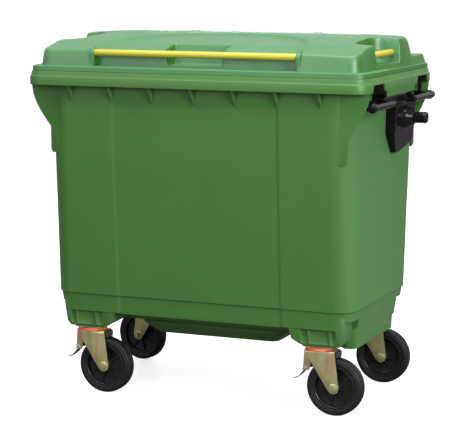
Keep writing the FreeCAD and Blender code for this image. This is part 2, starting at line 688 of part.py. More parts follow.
def axle():
    """The axle bolt with its head, and a separate nut at the other end."""
    outer = FORK_INNER + FORK_THICKNESS
    shank = rod(AXLE_RADIUS, vec(TRAIL, -outer - 2, WHEEL_RADIUS), Y_AXIS, 2 * outer + 12)
    head = hexagon(10.0, vec(TRAIL, -outer - 7, WHEEL_RADIUS), Y_AXIS, 6.5)
    nut = hexagon(10.0, vec(TRAIL, outer + 0.5, WHEEL_RADIUS), Y_AXIS, 8.0)
    nut = nut.cut(rod(AXLE_RADIUS + RUNNING, vec(TRAIL, 0, WHEEL_RADIUS), Y_AXIS, 100))
    return Part.makeCompound([shank.fuse(head).removeSplitter(), nut])


def wheel_bush():
    half = FORK_INNER - 0.2
    return tube(BUSH_RADIUS, AXLE_RADIUS + RUNNING, vec(TRAIL, -half, WHEEL_RADIUS), Y_AXIS, 2 * half)


def spun(points):
    """A solid of revolution about the wheel axis, from (radius, y) pairs."""
    face = Part.Face(Part.makePolygon([vec(TRAIL + r, y, WHEEL_RADIUS) for r, y in [*points, points[0]]]))
    return face.revolve(vec(TRAIL, 0, WHEEL_RADIUS), Y_AXIS, 360)


def wheel_rim():
    """The wheel centre: hub, dished web and rim, as one moulding."""
    bore = BUSH_RADIUS + RUNNING
    rim_low = TYRE_INNER - 8.0
    return spun([
        (bore, -HUB_HALF), (HUB_RADIUS, -HUB_HALF), (HUB_RADIUS + 2, -5.0), (rim_low, -5.0), (rim_low + 2, -TYRE_HALF + 2),
        (TYRE_INNER, -TYRE_HALF + 2), (TYRE_INNER, TYRE_HALF - 2), (rim_low + 2, TYRE_HALF - 2), (rim_low, 5.0),
        (HUB_RADIUS + 2, 5.0), (HUB_RADIUS, HUB_HALF), (bore, HUB_HALF),
    ])


def tyre():
    """A solid rubber tyre with rounded shoulders, seated on the rim."""
    inner = TYRE_INNER + 0.02
    shoulder = 9.0
    half = TYRE_HALF
    steps = [math.radians(a) for a in (0, 22.5, 45, 67.5, 90)]
    right = [
        (WHEEL_RADIUS - shoulder + shoulder * math.sin(a), half - shoulder + shoulder * math.cos(a)) for a in steps
    ]
    left = [(r, -y) for r, y in reversed(right)]
    return spun([(inner, half), *right, *left, (inner, -half)])


def brake_pedal():
    """The pressed pedal blade with a hub on its pivot."""
    px, pz = PEDAL_PIVOT
    tx, tz = PEDAL_TIP
    length = math.hypot(tx - px, tz - pz)
    nx, nz = (tz - pz) / length, -(tx - px) / length
    half = PEDAL_THICKNESS / 2
    blade = prism_xz([
        (px + nx * half, pz + nz * half), (tx + nx * half, tz + nz * half),
        (tx - nx * half, tz - nz * half), (px - nx * half, pz - nz * half),
    ], -PEDAL_HALF, PEDAL_HALF)
    hub = rod(PEDAL_HUB_RADIUS, vec(px, -PEDAL_HALF - 4, pz), Y_AXIS, 2 * PEDAL_HALF + 8)
    return blade.fuse(hub).cut(rod(PIVOT_RADIUS + RUNNING, vec(px, -60, pz), Y_AXIS, 120))


def brake_pivot():
    px, pz = PEDAL_PIVOT
    reach = BRACKET_HALF + 3
    pin = rod(PIVOT_RADIUS, vec(px, -reach - 1.5, pz), Y_AXIS, 2 * reach + 3)
    heads = [rod(PIVOT_RADIUS + 2, vec(px, y, pz), Y_AXIS, 2.0) for y in (-reach - 2.2, reach + 0.2)]
    return union([pin, *heads])


def brake_shoe():
    """The shoe above the tyre and the arm that runs forward from it below the crown."""
    x0, x1 = SHOE_X
    shoe = box(x0, x1, -SHOE_HALF, SHOE_HALF, *SHOE_Z)
    arm = box(-26.0, x0 + 1, -9.0, 9.0, *SHOE_ARM_Z)
    return union([shoe, arm])


def caster_bolts():
    """Bolts that hold the caster plates, with nuts inside the blocks, as separate solids."""
    bolts = []
    seat = MOUNT_Z - PLATE_THICKNESS
    for x, y in caster_bolt_places():
        shank = rod(PLATE_BOLT_RADIUS, vec(x, y, seat - 1), Z_AXIS, 22)
        head = hexagon(6.3, vec(x, y, seat - 5.0), Z_AXIS, 4.9)
        nut = hexagon(7.5, vec(x, y, MOUNT_Z + WALL + 0.1), Z_AXIS, 6.5)
        bolts.append(union([shank, head, nut]))
    return Part.makeCompound(bolts)


# ---------------------------------------------------------------- drain
def drain_plug():
    """The screw plug: shank in the drain hole, flange and finger bar below."""
    low = SUMP_SECTIONS[0][0]
    flange_top = low - SEAL_THICKNESS
    shank = rod(DRAIN_RADIUS - RUNNING, vec(0, 0, flange_top - 6), Z_AXIS, 22)
    flange = rod(DRAIN_FLANGE_RADIUS, vec(0, 0, flange_top - 6), Z_AXIS, 6)
    finger_bar = box(-24, 24, -5, 5, flange_top - 16, flange_top - 5)
    return union([shank, flange, finger_bar])


def drain_seal():
    low = SUMP_SECTIONS[0][0]
    below = vec(0, 0, low - SEAL_THICKNESS)
    return tube(DRAIN_FLANGE_RADIUS - 2, DRAIN_RADIUS + RUNNING, below, Z_AXIS, SEAL_THICKNESS - RUNNING)


# ---------------------------------------------------------------- write every node
def main():
    os.makedirs("parts", exist_ok=True)
    save("tub", tub())
    save("lid", lid())
    save("lid_front_grip_bar", front_grip_bar())
    pairs = {
        "lid_{}_grip_bar": side_grip_bar(),
        "{}_hinge_pin": hinge_pin(),
        "{}_trunnion_pin": trunnion_pin(),
        "{}_bracket_bolts": bracket_bolts(),
    }
    for name, shape in pairs.items():
        save(name.format("right"), shape)
        save(name.format("left"), flip_x(shape))
    save("right_side_bracket", side_bracket(FRONT_HANDLE_Y, ARM_Y))
    save("left_side_bracket", flip_x(side_bracket(LEFT_FRONT_HANDLE_Y, LEFT_FRONT_ARM_Y)))
    for corner, (cx, cy, braked, heading) in CASTERS.items():
        save(corner + "_top_plate", top_plate().translated(vec(cx, cy, 0)))
        save(corner + "_kingpin", kingpin().translated(vec(cx, cy, 0)))
        nodes = {
            "swivel_balls": swivel_balls(),
            "swivel_ring": red_ring(),
            "fork": fork(braked),
            "axle": axle(),
            "wheel_bush": wheel_bush(),
            "wheel_centre": wheel_rim(),
            "tyre": tyre(),
        }
        if braked:
            nodes["brake_pedal"] = brake_pedal()
            nodes["brake_pivot"] = brake_pivot()
            nodes["brake_shoe"] = brake_shoe()
        for part, shape in nodes.items():
            turned = shape.rotated(vec(0, 0, 0), Z_AXIS, heading)
            save(corner + "_" + part, turned.translated(vec(cx, cy, 0)))
    save("caster_mount_bolts", caster_bolts())
    save("drain_plug", drain_plug())
    save("drain_seal", drain_seal())


main()
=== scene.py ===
import json
import math

import bmesh
import bpy
import numpy as np
from mathutils import Matrix, Vector


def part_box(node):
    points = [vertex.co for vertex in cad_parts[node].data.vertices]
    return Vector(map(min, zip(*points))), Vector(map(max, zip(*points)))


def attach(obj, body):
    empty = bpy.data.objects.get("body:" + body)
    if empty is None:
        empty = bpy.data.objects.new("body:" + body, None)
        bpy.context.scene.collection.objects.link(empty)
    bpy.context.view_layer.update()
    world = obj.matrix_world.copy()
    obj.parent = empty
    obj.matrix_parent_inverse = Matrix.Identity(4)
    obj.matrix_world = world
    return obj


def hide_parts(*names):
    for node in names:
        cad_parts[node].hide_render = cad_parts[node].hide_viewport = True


# A four-wheeled waste container: green tub and domed lid, yellow grip bars, black side brackets
# and four swivel casters. Lengths are in metres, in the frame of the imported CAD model.

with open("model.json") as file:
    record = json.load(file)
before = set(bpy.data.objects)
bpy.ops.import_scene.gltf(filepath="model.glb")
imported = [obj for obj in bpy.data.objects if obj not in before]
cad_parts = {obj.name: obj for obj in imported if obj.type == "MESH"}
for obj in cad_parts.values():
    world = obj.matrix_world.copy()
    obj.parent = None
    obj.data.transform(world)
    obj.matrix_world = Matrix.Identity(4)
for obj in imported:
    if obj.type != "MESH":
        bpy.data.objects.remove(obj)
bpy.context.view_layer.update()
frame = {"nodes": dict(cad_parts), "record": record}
NODES = frame["nodes"]

# ------------------------------ places taken from the frame
tub_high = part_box("tub")[1]
lid_low, lid_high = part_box("lid")
RIM_X = tub_high.x
RIM_Y = tub_high.y
LID_X = lid_high.x
LID_Y = -lid_low.y
LID_BASE = lid_low.z
LID_WALL = 0.0038
RIM_TOP = LID_BASE - 0.001
CORNERS = ("front_left", "front_right", "rear_left", "rear_right")
BRAKED = ("front_left", "front_right")

# ------------------------------ tub sizes
WALL = 0.005
# Outer faces of the body: (height, half width, half depth, front corner radius, rear corner radius).
BODY = np.array([
    (0.2960, 0.549, 0.3030, 0.062, 0.050),
    (0.3600, 0.559, 0.3090, 0.066, 0.054),
    (0.3645, 0.564, 0.3132, 0.070, 0.055),
    (0.8680, 0.564, 0.3450, 0.080, 0.034),
    (1.0600, 0.564, 0.3490, 0.080, 0.032),
    (1.1580, 0.564, 0.3500, 0.080, 0.032),
])
# The body's four lower corners are cut away outside these planes and below this height.
ARCHWAY_X = 0.524
ARCHWAY_Y = 0.205
ARCHWAY_Z = 0.330
SKIRT_BOTTOM = 0.220
# Corner fins: (half width, side of the tub they stand on).
FINS = ((0.554, -0.335), (0.573, 0.338))
FIN_BEND = 0.960
FIN_LOW = 0.868
RIM_RADIUS = 0.058
RIM_BOTTOM = 1.108
RIM_RIDGE = 1.139
PANEL_HALF = 0.307
PANEL_DEPTH = 0.0035
PANEL_TOP = 1.045
GUSSET_PITCH = 0.154
GUSSET_HALF = 0.0022
HINGE_X = 0.330
SUMP_TOP = 0.299
# Steps along a straight side, closer together at the panel's edge, and along each quarter corner.
FRONT_STEPS = (
    0, 0.04, 0.08, 0.12, 0.16, 0.20, 0.24, 0.27, 0.295,
    0.301, 0.304, 0.3065, 0.309, 0.312, 0.318, 0.34, 0.37, 0.40,
)
SIDE_STEPS = (0, 0.04, 0.08, 0.12, 0.155, 0.19, 0.22, 0.235)
CORNER_STEPS = 15

# ------------------------------ lid sizes
LID_CORNER = 0.052
DOME_FRONT_X = 0.594
DOME_REAR_X = 0.614
DOME_FRONT = -0.352
DOME_REAR = 0.268
SHELF_REAR = 0.371
DOME_RADIUS = 0.045
DOME_REAR_RADIUS = 0.110
DOME_ROUND = 0.018
DOME_REAR_ROUND = 0.048
FLANGE_Z = 1.177
SHELF_Z = 1.205
# The roof's crown along the middle: (y, z).
ROOF = np.array([
    (-0.352, 1.231), (-0.338, 1.2365), (-0.225, 1.262), (-0.100, 1.272), (0.0, 1.278),
    (0.100, 1.282), (0.190, 1.281), (0.225, 1.278), (0.250, 1.270), (0.268, 1.256),
])
RECESS_HALF = 0.384
RECESS_Y = -0.312
HAND_X = -0.009
HAND_HALF = 0.109
HAND_Y = -0.230
HAND_SLOPE = 0.020
HAND_FLOOR = 1.184
# Side pocket: centre x and y, half sizes and corner radius.
SIDE_POCKET = (0.585, -0.066, 0.075, 0.112, 0.050)
SIDE_FLOOR = 1.192
ARCH_HALF = 0.378
ARCH_FOOT = -0.300
ARCH_TIP = 0.045
ARCH_DEPTH = 0.0065
# Round emboss: centre and radius. Rear stops: centre and half sizes.
EMBOSS = (0.488, -0.268, 0.053)
STOPS = (0.242, 0.222, 0.020, 0.003)
SOCKET_INNER = 0.3735
SOCKET_RADIUS = 0.0145

# ------------------------------ side bracket sizes
BEAM_HALF = 0.331
BEAM_Z = (1.047, 1.086)
BEAM_FACE = 0.612
RAIL_FACE = 0.578
SHIELD_FACE = 0.602
HANDLE_X = 0.638
HANDLE_Z = 1.060
HANDLE_RADIUS = 0.012
ARM_RADIUS = 0.0108
KNUCKLE_RADIUS = 0.0165
FRONT_HANDLE = (-0.338, -0.115)
LEFT_FRONT_HANDLE = (-0.243, -0.115)
REAR_HANDLE = (0.115, 0.350)
ARMS = (0.127, 0.320)
LEFT_FRONT_ARMS = (0.127, 0.231)
NECKS = (0.176, 0.296)
NECK_HALF = 0.0078
NECK_TOP = 1.1278
PIN_LENGTH = 0.045

# ------------------------------ caster sizes, about the swivel axis
TRAIL = 0.056
WHEEL_RADIUS = 0.100
AXLE_Z = WHEEL_RADIUS
FORK_HALF = 0.0325
FORK_TOP = 0.227
SHEET = 0.0036
CROWN_FRONT = -0.043
CROWN_REAR = 0.060
PEDAL_PIVOT = (-0.046, 0.163)
CHEEKS = (0.022, 0.025)
RIBS = 8


# ------------------------------ mesh helpers
def add_mesh(name, vertices, faces):
    """A new object from vertices and faces, with its normals facing out."""
    mesh = bpy.data.meshes.new(name)
    mesh.from_pydata([tuple(v) for v in vertices], [], [tuple(f) for f in faces])
    bm = bmesh.new()
    bm.from_mesh(mesh)
    bmesh.ops.recalc_face_normals(bm, faces=bm.faces)
    bm.to_mesh(mesh)
    bm.free()
    obj = bpy.data.objects.new(name, mesh)
    bpy.context.scene.collection.objects.link(obj)
    return obj


def shade(obj, degrees=35.0):
    """Smooth shading with edges sharper than an angle kept sharp."""
    obj.data.shade_smooth()
    obj.data.set_sharp_from_angle(angle=math.radians(degrees))
    return obj


def bake(obj):
    """Applies every modifier of an object."""
    bpy.context.view_layer.update()
    done = obj.evaluated_get(bpy.context.evaluated_depsgraph_get())
    mesh = bpy.data.meshes.new_from_object(done)
    obj.modifiers.clear()
    obj.data = mesh
    return obj


def bevel(obj, width, segments=3, degrees=30.0):
    """Rounds every edge that is sharper than an angle."""
    modifier = obj.modifiers.new("bevel", "BEVEL")
    modifier.width = width
    modifier.segments = segments
    modifier.limit_method = "ANGLE"
    modifier.angle_limit = math.radians(degrees)
    modifier.use_clamp_overlap = True
    return bake(obj)


def boolean(obj, other, operation, overlapping=False):
    """Applies an exact boolean and removes the second object."""
    modifier = obj.modifiers.new("boolean", "BOOLEAN")
    modifier.object = other
    modifier.operation = operation
    modifier.solver = "EXACT"
    modifier.use_self = overlapping
    bake(obj)
    bpy.data.objects.remove(other)
    return obj


def join(name, objects):
    """One object from several, without touching their shapes."""
    bm = bmesh.new()
    for obj in objects:
        mesh = obj.data.copy()
        mesh.transform(obj.matrix_world)
        bm.from_mesh(mesh)
        bpy.data.meshes.remove(mesh)
        bpy.data.objects.remove(obj)
    mesh = bpy.data.meshes.new(name)
    bm.to_mesh(mesh)
    bm.free()
    obj = bpy.data.objects.new(name, mesh)
    bpy.context.scene.collection.objects.link(obj)
    return obj


def mirrored(obj, name, flip):
    """A copy mirrored by a (sx, sy) pair of signs."""
    mesh = obj.data.copy()
    mesh.transform(Matrix.Diagonal((flip[0], flip[1], 1, 1)))
    if flip[0] * flip[1] < 0:
        mesh.flip_normals()
    copy = bpy.data.objects.new(name, mesh)
    bpy.context.scene.collection.objects.link(copy)
    return copy


def to_left(obj):
    """Mirrors a right-hand piece to the left-hand side."""
    copy = mirrored(obj, "left_" + obj.name, (-1, 1))
    bpy.data.objects.remove(obj)
    return copy


def prism(name, outline, axis, low, high):
    """A closed outline of 2-D points pushed along an axis (0 is x, 1 is y, 2 is z)."""
    order = {0: (2, 0, 1), 1: (0, 2, 1), 2: (0, 1, 2)}[axis]
    count = len(outline)
    flat = [(a, b, c) for c in (low, high) for a, b in outline]
    points = [tuple(p[k] for k in order) for p in flat]
    faces = [tuple(range(count)), tuple(range(count, 2 * count))]
    faces += [(k, (k + 1) % count, count + (k + 1) % count, count + k) for k in range(count)]
    return add_mesh(name, points, faces)


def block(name, x0, x1, y0, y1, z0, z1):
    """A plain box, as raw stock or a cutter."""
    return prism(name, [(x0, y0), (x1, y0), (x1, y1), (x0, y1)], 2, z0, z1)


def lathe(name, profile, centre, axis, steps=96):
    """A closed profile of (radius, height) pairs spun about an axis (0 is x, 1 is y, 2 is z)."""
    turn = np.linspace(0, 2 * math.pi, steps, endpoint=False)
    order = {0: (2, 0, 1), 1: (1, 2, 0), 2: (0, 1, 2)}[axis]
    points = []
    for a in turn:
        for radius, height in profile:
            flat = (radius * math.cos(a), radius * math.sin(a), height)
            points.append(tuple(flat[k] + centre[i] for i, k in enumerate(order)))
    count = len(profile)
    faces = []
    for i in range(steps):
        for k in range(count):
            a, b = i * count + k, i * count + (k + 1) % count
            c, d = ((i + 1) % steps) * count + (k + 1) % count, ((i + 1) % steps) * count + k
            faces.append((a, b, c, d))
    return add_mesh(name, points, faces)


def arc(cx, cy, radius, first, last, steps):
    """Points along an arc, angles in degrees."""
    turn = np.radians(np.linspace(first, last, steps))
    return [(cx + radius * math.cos(a), cy + radius * math.sin(a)) for a in turn]


def ramp(t, soft=0.18):
    """0 to 1 as t goes from 0 to 1: straight in the middle, rounded at both ends."""
    offsets = np.linspace(-soft, soft, 9)
    t = np.asarray(t, float)
    return np.mean([np.clip(t + o, 0, 1) for o in offsets], axis=0)


def centre_of(node):
    """The centre of a CAD node's box."""
    low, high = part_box(node)
    return [(low[k] + high[k]) / 2 for k in range(3)]


def rounded_distance(x, y, half_x, half_y, radius):
    """Signed distance to a rounded rectangle about the origin, positive inside."""
    qx = np.abs(x) - (half_x - radius)
    qy = np.abs(y) - (half_y - radius)
    outside = np.hypot(np.maximum(qx, 0), np.maximum(qy, 0))
    inside = np.minimum(np.maximum(qx, qy), 0)
    return radius - outside - inside


# ------------------------------ tub
def both_sides(steps):
    """Positions along one straight side, the same on both sides of its middle."""
    return np.array(sorted({sign * step for step in steps for sign in (-1, 1)}))


FRONT_COLUMNS = both_sides(FRONT_STEPS)
SIDE_COLUMNS = both_sides(SIDE_STEPS)


def ring(z, half_x, half_y, front, rear, panel=0.0):
    """One level ring of points round the tub, the front and back panels set in by panel."""

    def with_rest(columns, start, end):
        low = [start + s * (columns[0] - start) for s in (0.0, 0.5)]
        high = [end + s * (columns[-1] - end) for s in (0.5, 0.0)]
        return np.concatenate([low, columns, high])

    front_x = with_rest(FRONT_COLUMNS, front - half_x, half_x - front)
    rear_x = with_rest(FRONT_COLUMNS, rear - half_x, half_x - rear)
    ys = with_rest(SIDE_COLUMNS, front - half_y, half_y - rear)

    def inset(xs):
        edge = 0.004
        return panel * (1 - ramp((np.abs(xs) - (PANEL_HALF - edge)) / (2 * edge)))

    turn = np.radians(np.linspace(0, 90, CORNER_STEPS + 2)[1:-1])
    fx, fy, rx, ry = half_x - front, half_y - front, half_x - rear, half_y - rear
    points = list(zip(front_x, inset(front_x) - half_y))
    points += [(fx + front * math.sin(a), -fy - front * math.cos(a)) for a in turn]
    points += [(half_x, y) for y in ys]
    points += [(rx + rear * math.cos(a), ry + rear * math.sin(a)) for a in turn]
    points += list(zip(rear_x[::-1], half_y - inset(rear_x)[::-1]))
    points += [(-rx - rear * math.sin(a), ry + rear * math.cos(a)) for a in turn]
    points += [(-half_x, y) for y in ys[::-1]]
    points += [(-fx - front * math.cos(a), -fy - front * math.sin(a)) for a in turn]
    return [(x, y, z) for x, y in points]


def body_size(z, inward=0.0):
    """Half width, half depth and both corner radii of the body at a height, moved inward."""
    return [float(np.interp(z, BODY[:, 0], BODY[:, k])) - inward for k in (1, 2, 3, 4)]


def rings_to_object(name, rings):
    """A closed skin through rings, with flat caps on the first and the last."""
    count = len(rings[0])
    points = [p for one in rings for p in one]
    faces = [tuple(range(count)), tuple(range((len(rings) - 1) * count, len(rings) * count))]
    for r in range(len(rings) - 1):
        for k in range(count):
            n = (k + 1) % count
            faces.append((r * count + k, r * count + n, (r + 1) * count + n, (r + 1) * count + k))
    return add_mesh(name, points, faces)


def tub_outside():
    """The body and its collar as one solid, from the underside up to the rim's top."""
    low = BODY[0, 0]
    rings = [ring(low, *body_size(low, 0.006)), ring(low + 0.001, *body_size(low, 0.003))]
    crease = [0.345, 0.356, 0.3592, 0.3600, 0.3615, 0.3630, 0.3645, 0.3655, 0.372]
    levels = [0.300, 0.315, 0.335, *crease, 0.40, *np.arange(0.45, 1.04, 0.045)]
    levels += [PANEL_TOP, 1.06, 1.075, 1.10, 1.148]
    for z in levels:
        panel = PANEL_DEPTH * float(ramp((z - low) / 0.006)) * (1 - float(ramp((z - PANEL_TOP) / 0.03)))
        rings.append(ring(z, *body_size(z), panel))
    plate = RIM_TOP - WALL
    rings.append(ring(plate, *body_size(plate, -0.004)))
    # The collar from inside to outside: (height, distance inside the rim's edge).
    skirt = [
        (plate, 0.016), (plate - 0.004, 0.0065), (RIM_RIDGE, 0.005), (RIM_BOTTOM + 0.002, 0.0045),
        (RIM_BOTTOM, 0.0030), (RIM_BOTTOM - 0.0002, 0.0016),
        (RIM_BOTTOM + 0.0016, 0.0002), (RIM_BOTTOM + 0.006, 0.0),
        (RIM_RIDGE - 0.003, 0.0), (RIM_RIDGE - 0.0006, 0.0008), (RIM_RIDGE + 0.0006, 0.0028),
        (RIM_RIDGE + 0.003, 0.0042), (RIM_TOP - 0.006, 0.0062), (RIM_TOP - 0.002, 0.0075), (RIM_TOP, 0.0105),
    ]
    rings += [ring(z, RIM_X - d, RIM_Y - d, RIM_RADIUS - d, RIM_RADIUS - d) for z, d in skirt]
    return rings_to_object("tub_outside", rings)


def archways(grow):
    """Boxes over the body's four lower corners, as one object."""
    boxes = []
    for sx in (-1, 1):
        for sy in (-1, 1):
            x0, x1 = sorted((sx * (ARCHWAY_X - grow), sx * 0.7))
            y0, y1 = sorted((sy * (ARCHWAY_Y - grow), sy * 0.5))
            boxes.append(block("archway", x0, x1, y0, y1, 0.2, ARCHWAY_Z + grow))
    return join("archways", boxes)


def cavity():
    """The space inside the tub, open past the top."""
    floor = 0.303
    rings = [ring(floor - 0.0015, *body_size(floor, 0.014)), ring(floor, *body_size(floor, 0.008))]
    walls = (floor + 0.005, 0.360, 0.3645, 0.50, 0.70, 0.868, 1.06, RIM_TOP - 0.020)
    rings += [ring(z, *body_size(z, WALL)) for z in walls]
    mouth = ((RIM_TOP - 0.002, WALL), (RIM_TOP, 0.003), (RIM_TOP + 0.03, 0.002))
    rings += [ring(z, *body_size(RIM_TOP, d)) for z, d in mouth]
    space = rings_to_object("cavity", rings)
    return boolean(space, archways(WALL), "DIFFERENCE")


def gusset(x):
    """A triangular rib between the wall and the collar's skirt."""
    wall_y = -body_size(1.08)[1] + WALL / 2
    edge_y = -RIM_Y + WALL / 2
    outline = [(wall_y, 1.050), (edge_y, RIM_BOTTOM + 0.003), (edge_y, RIM_RIDGE - 0.006),
               (edge_y + 0.008, RIM_TOP - 0.004), (wall_y, RIM_TOP - 0.004)]
    rib = prism("gusset", outline, 0, x - GUSSET_HALF, x + GUSSET_HALF)
    return bevel(rib, 0.0009, 2)


def corner_fin(half_width, y):
    """The plate that curves from the collar's corner down to the body, on the right-hand side."""
    rim_x = RIM_X - 0.004
    inner = 0.500
    outline = [(inner, 1.150), (rim_x - 0.002, 1.150), (rim_x, RIM_BOTTOM)]
    for t in np.linspace(0.05, 1.0, 12):
        x = half_width + (rim_x - half_width) * math.cos(t * math.pi / 2)
        outline.append((x, RIM_BOTTOM + (FIN_BEND - RIM_BOTTOM) * t))
    outline += [(half_width - 0.0005, FIN_LOW + 0.012), (half_width - 0.007, FIN_LOW), (inner, FIN_LOW)]
    fin = prism("fin", outline, 1, y - 0.0025, y + 0.0025)
    return bevel(fin, 0.0012, 2)


def rounded_stack(name, sections):
    """A closed solid through level rounded rectangles (z, half x, half y, radius), few points each."""
    rings = []
    for z, hx, hy, r in sections:
        level = []
        for k, (sx, sy) in enumerate(((1, -1), (1, 1), (-1, 1), (-1, -1))):
            first = -90 + 90 * k
            level += [(x, y, z) for x, y in arc(sx * (hx - r), sy * (hy - r), r, first, first + 90, 9)]
        rings.append(level)
    return rings_to_object(name, rings)


def sump():
    """The deep sump in the middle, down to the drain's seal."""
    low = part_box("drain_seal")[1].z + 0.0004
    body = rounded_stack("sump", [
        (low, 0.228, 0.144, 0.026), (low + 0.0015, 0.234, 0.150, 0.030),
        (0.250, 0.277, 0.195, 0.040), (SUMP_TOP, 0.290, 0.203, 0.045),
    ])
    return bevel(body, 0.004, 3, 12)


def floor_step():
    """The shallow step of the floor round the sump."""
    body = rounded_stack("floor_step", [
        (0.2640, 0.349, 0.202, 0.027), (0.2652, 0.352, 0.205, 0.030), (SUMP_TOP, 0.3595, 0.2085, 0.033),
    ])
    return bevel(body, 0.003, 3, 12)


def caster_block():
    """One block that carries a caster, with upright ribs on its front, in the right front quarter."""
    body = rounded_stack("block", [
        (0.240, 0.509, 0.290, 0.008), (0.2412, 0.512, 0.293, 0.010), (0.256, 0.522, 0.299, 0.012),
        (0.304, 0.530, 0.301, 0.014), (0.345, 0.534, 0.302, 0.014),
    ])
    outline = [(0.380, 0.230), (0.380, 0.240), (0.342, 0.262), (0.315, 0.350), (0.60, 0.350), (0.60, 0.230)]
    zone = prism("zone", outline, 1, -0.40, -0.196)
    body = boolean(body, zone, "INTERSECT")
    for x0, x1 in ((0.3765, 0.401), (0.408, 0.478), (0.4835, 0.502)):
        pocket = block("pocket", x0, x1, -0.40, -0.292, 0.2495, 0.298)
        body = boolean(body, bevel(pocket, 0.003, 2), "DIFFERENCE")
    return bevel(body, 0.0016, 2, 35)


def side_skirt():
    """The skirt between the caster blocks on the right, flush with the body's side wall."""
    rings = []
    for z, out in ((SKIRT_BOTTOM, 0.5425), (SKIRT_BOTTOM + 0.002, 0.5445), (0.296, 0.549), (0.306, 0.5503)):
        outline = [(0.470, -0.168), (0.500, -0.205), *arc(out - 0.030, -0.175, 0.030, -90, 0, 9)]
        outline += [*arc(out - 0.012, 0.188, 0.012, 0, 90, 5), (0.497, 0.200), (0.497, 0.120), (0.470, 0.080)]
        rings.append([(x, y, z) for x, y in outline])
    return bevel(rings_to_object("skirt", rings), 0.002, 2, 40)


def hinge_lugs():
    """The tub's two lugs of each hinge station, standing on the rim."""
    _, y, z = centre_of("right_hinge_pin")
    lugs = []
    radius, width, gap = 0.0128, 0.014, 0.024
    for x0 in (HINGE_X + gap, HINGE_X - gap - width):
        outline = [(y - 0.013, RIM_TOP - 0.003), (y + radius, RIM_TOP - 0.003), (y + radius, z)]
        outline += arc(y, z, radius, 10, 170, 15) + [(y - 0.013, z)]
        lug = prism("lug", outline, 0, x0, x0 + width)
        lugs.append(bevel(lug, 0.0012, 2, 40))
    return lugs


def window_cutter():
    """The opening in the collar's side, in the right rear quarter."""
    outline = [(0.162, 1.070), (0.190, 1.128), *arc(0.196, 1.128, 0.006, 180, 90, 5)[1:],
               *arc(0.299, 1.128, 0.006, 90, 0, 5), (0.333, 1.070)]
    return prism("window", outline, 0, RIM_X - 0.014, RIM_X + 0.02)


def tub():
    """The whole tub as one closed mesh."""
    body = boolean(tub_outside(), archways(0.0), "DIFFERENCE")
    quarter = [(1, 1), (-1, 1), (1, -1), (-1, -1)]
    extras = []
    for k in range(-3, 4):
        rib = gusset(k * GUSSET_PITCH)
        extras += [mirrored(rib, "rib", (1, -1)), rib]
    for half_width, y in FINS:
        fin = corner_fin(half_width, y)
        extras += [mirrored(fin, "fin_copy", (-1, 1)), fin]
    skirt_side = side_skirt()
    extras += [skirt_side, mirrored(skirt_side, "skirt", (-1, 1)), sump(), floor_step()]
    support = caster_block()
    extras += [mirrored(support, "copy", flip) for flip in quarter]
    bpy.data.objects.remove(support)
    for lug in hinge_lugs():
        extras += [lug, mirrored(lug, "lug", (-1, 1))]
    for sign in (-1, 1):
        x0, x1 = sorted((sign * (RIM_X - 0.0048), sign * (RIM_X - 0.0001)))
        flap = block("flap", x0, x1, -0.157, 0.157, 1.087, 1.130)
        extras.append(bevel(flap, 0.0012, 2))
    body = boolean(body, join("extras", extras), "UNION", True)
    body = boolean(body, cavity(), "DIFFERENCE")
    window = window_cutter()
    cutters = join("cutters", [mirrored(window, "cut", flip) for flip in quarter])
    bpy.data.objects.remove(window)
    body = boolean(body, cutters, "DIFFERENCE")
    body.name = "tub_body"
    return shade(body, 32)


# ------------------------------ lid
def graded(extent, features, fine=0.0018, coarse=0.012, margin=0.010):
    """Grid lines from -extent to extent, close together near the features."""
    lines = [-extent]
    while lines[-1] < extent:
        here = lines[-1]
        gap = min(max(abs(here + coarse / 2 - f) - w - margin, 0.0) for f, w in features)
        lines.append(here + min(coarse, fine + 0.5 * gap))
    lines = np.array(lines)
    return lines * (extent / lines[-1]) if lines[-1] > extent else lines


def soften(value, smooth):
    """The mean of a function over a few offsets, which rounds its corners."""
    return np.mean([value(o) for o in np.linspace(-smooth, smooth, 7)], axis=0)


def roof_height(x, y):
    """The crowned roof, before anything is pressed into it."""
    z = soften(lambda o: np.interp(y + o, ROOF[:, 0], ROOF[:, 1]), 0.012)
    return z - 0.002 * (x / 0.58) ** 2 - 0.006 * (x / 0.60) ** 6


def carve(z, depth_to, t):
    """Lowers z to a floor where t goes to 1."""
    return z + (np.minimum(depth_to, z) - z) * t


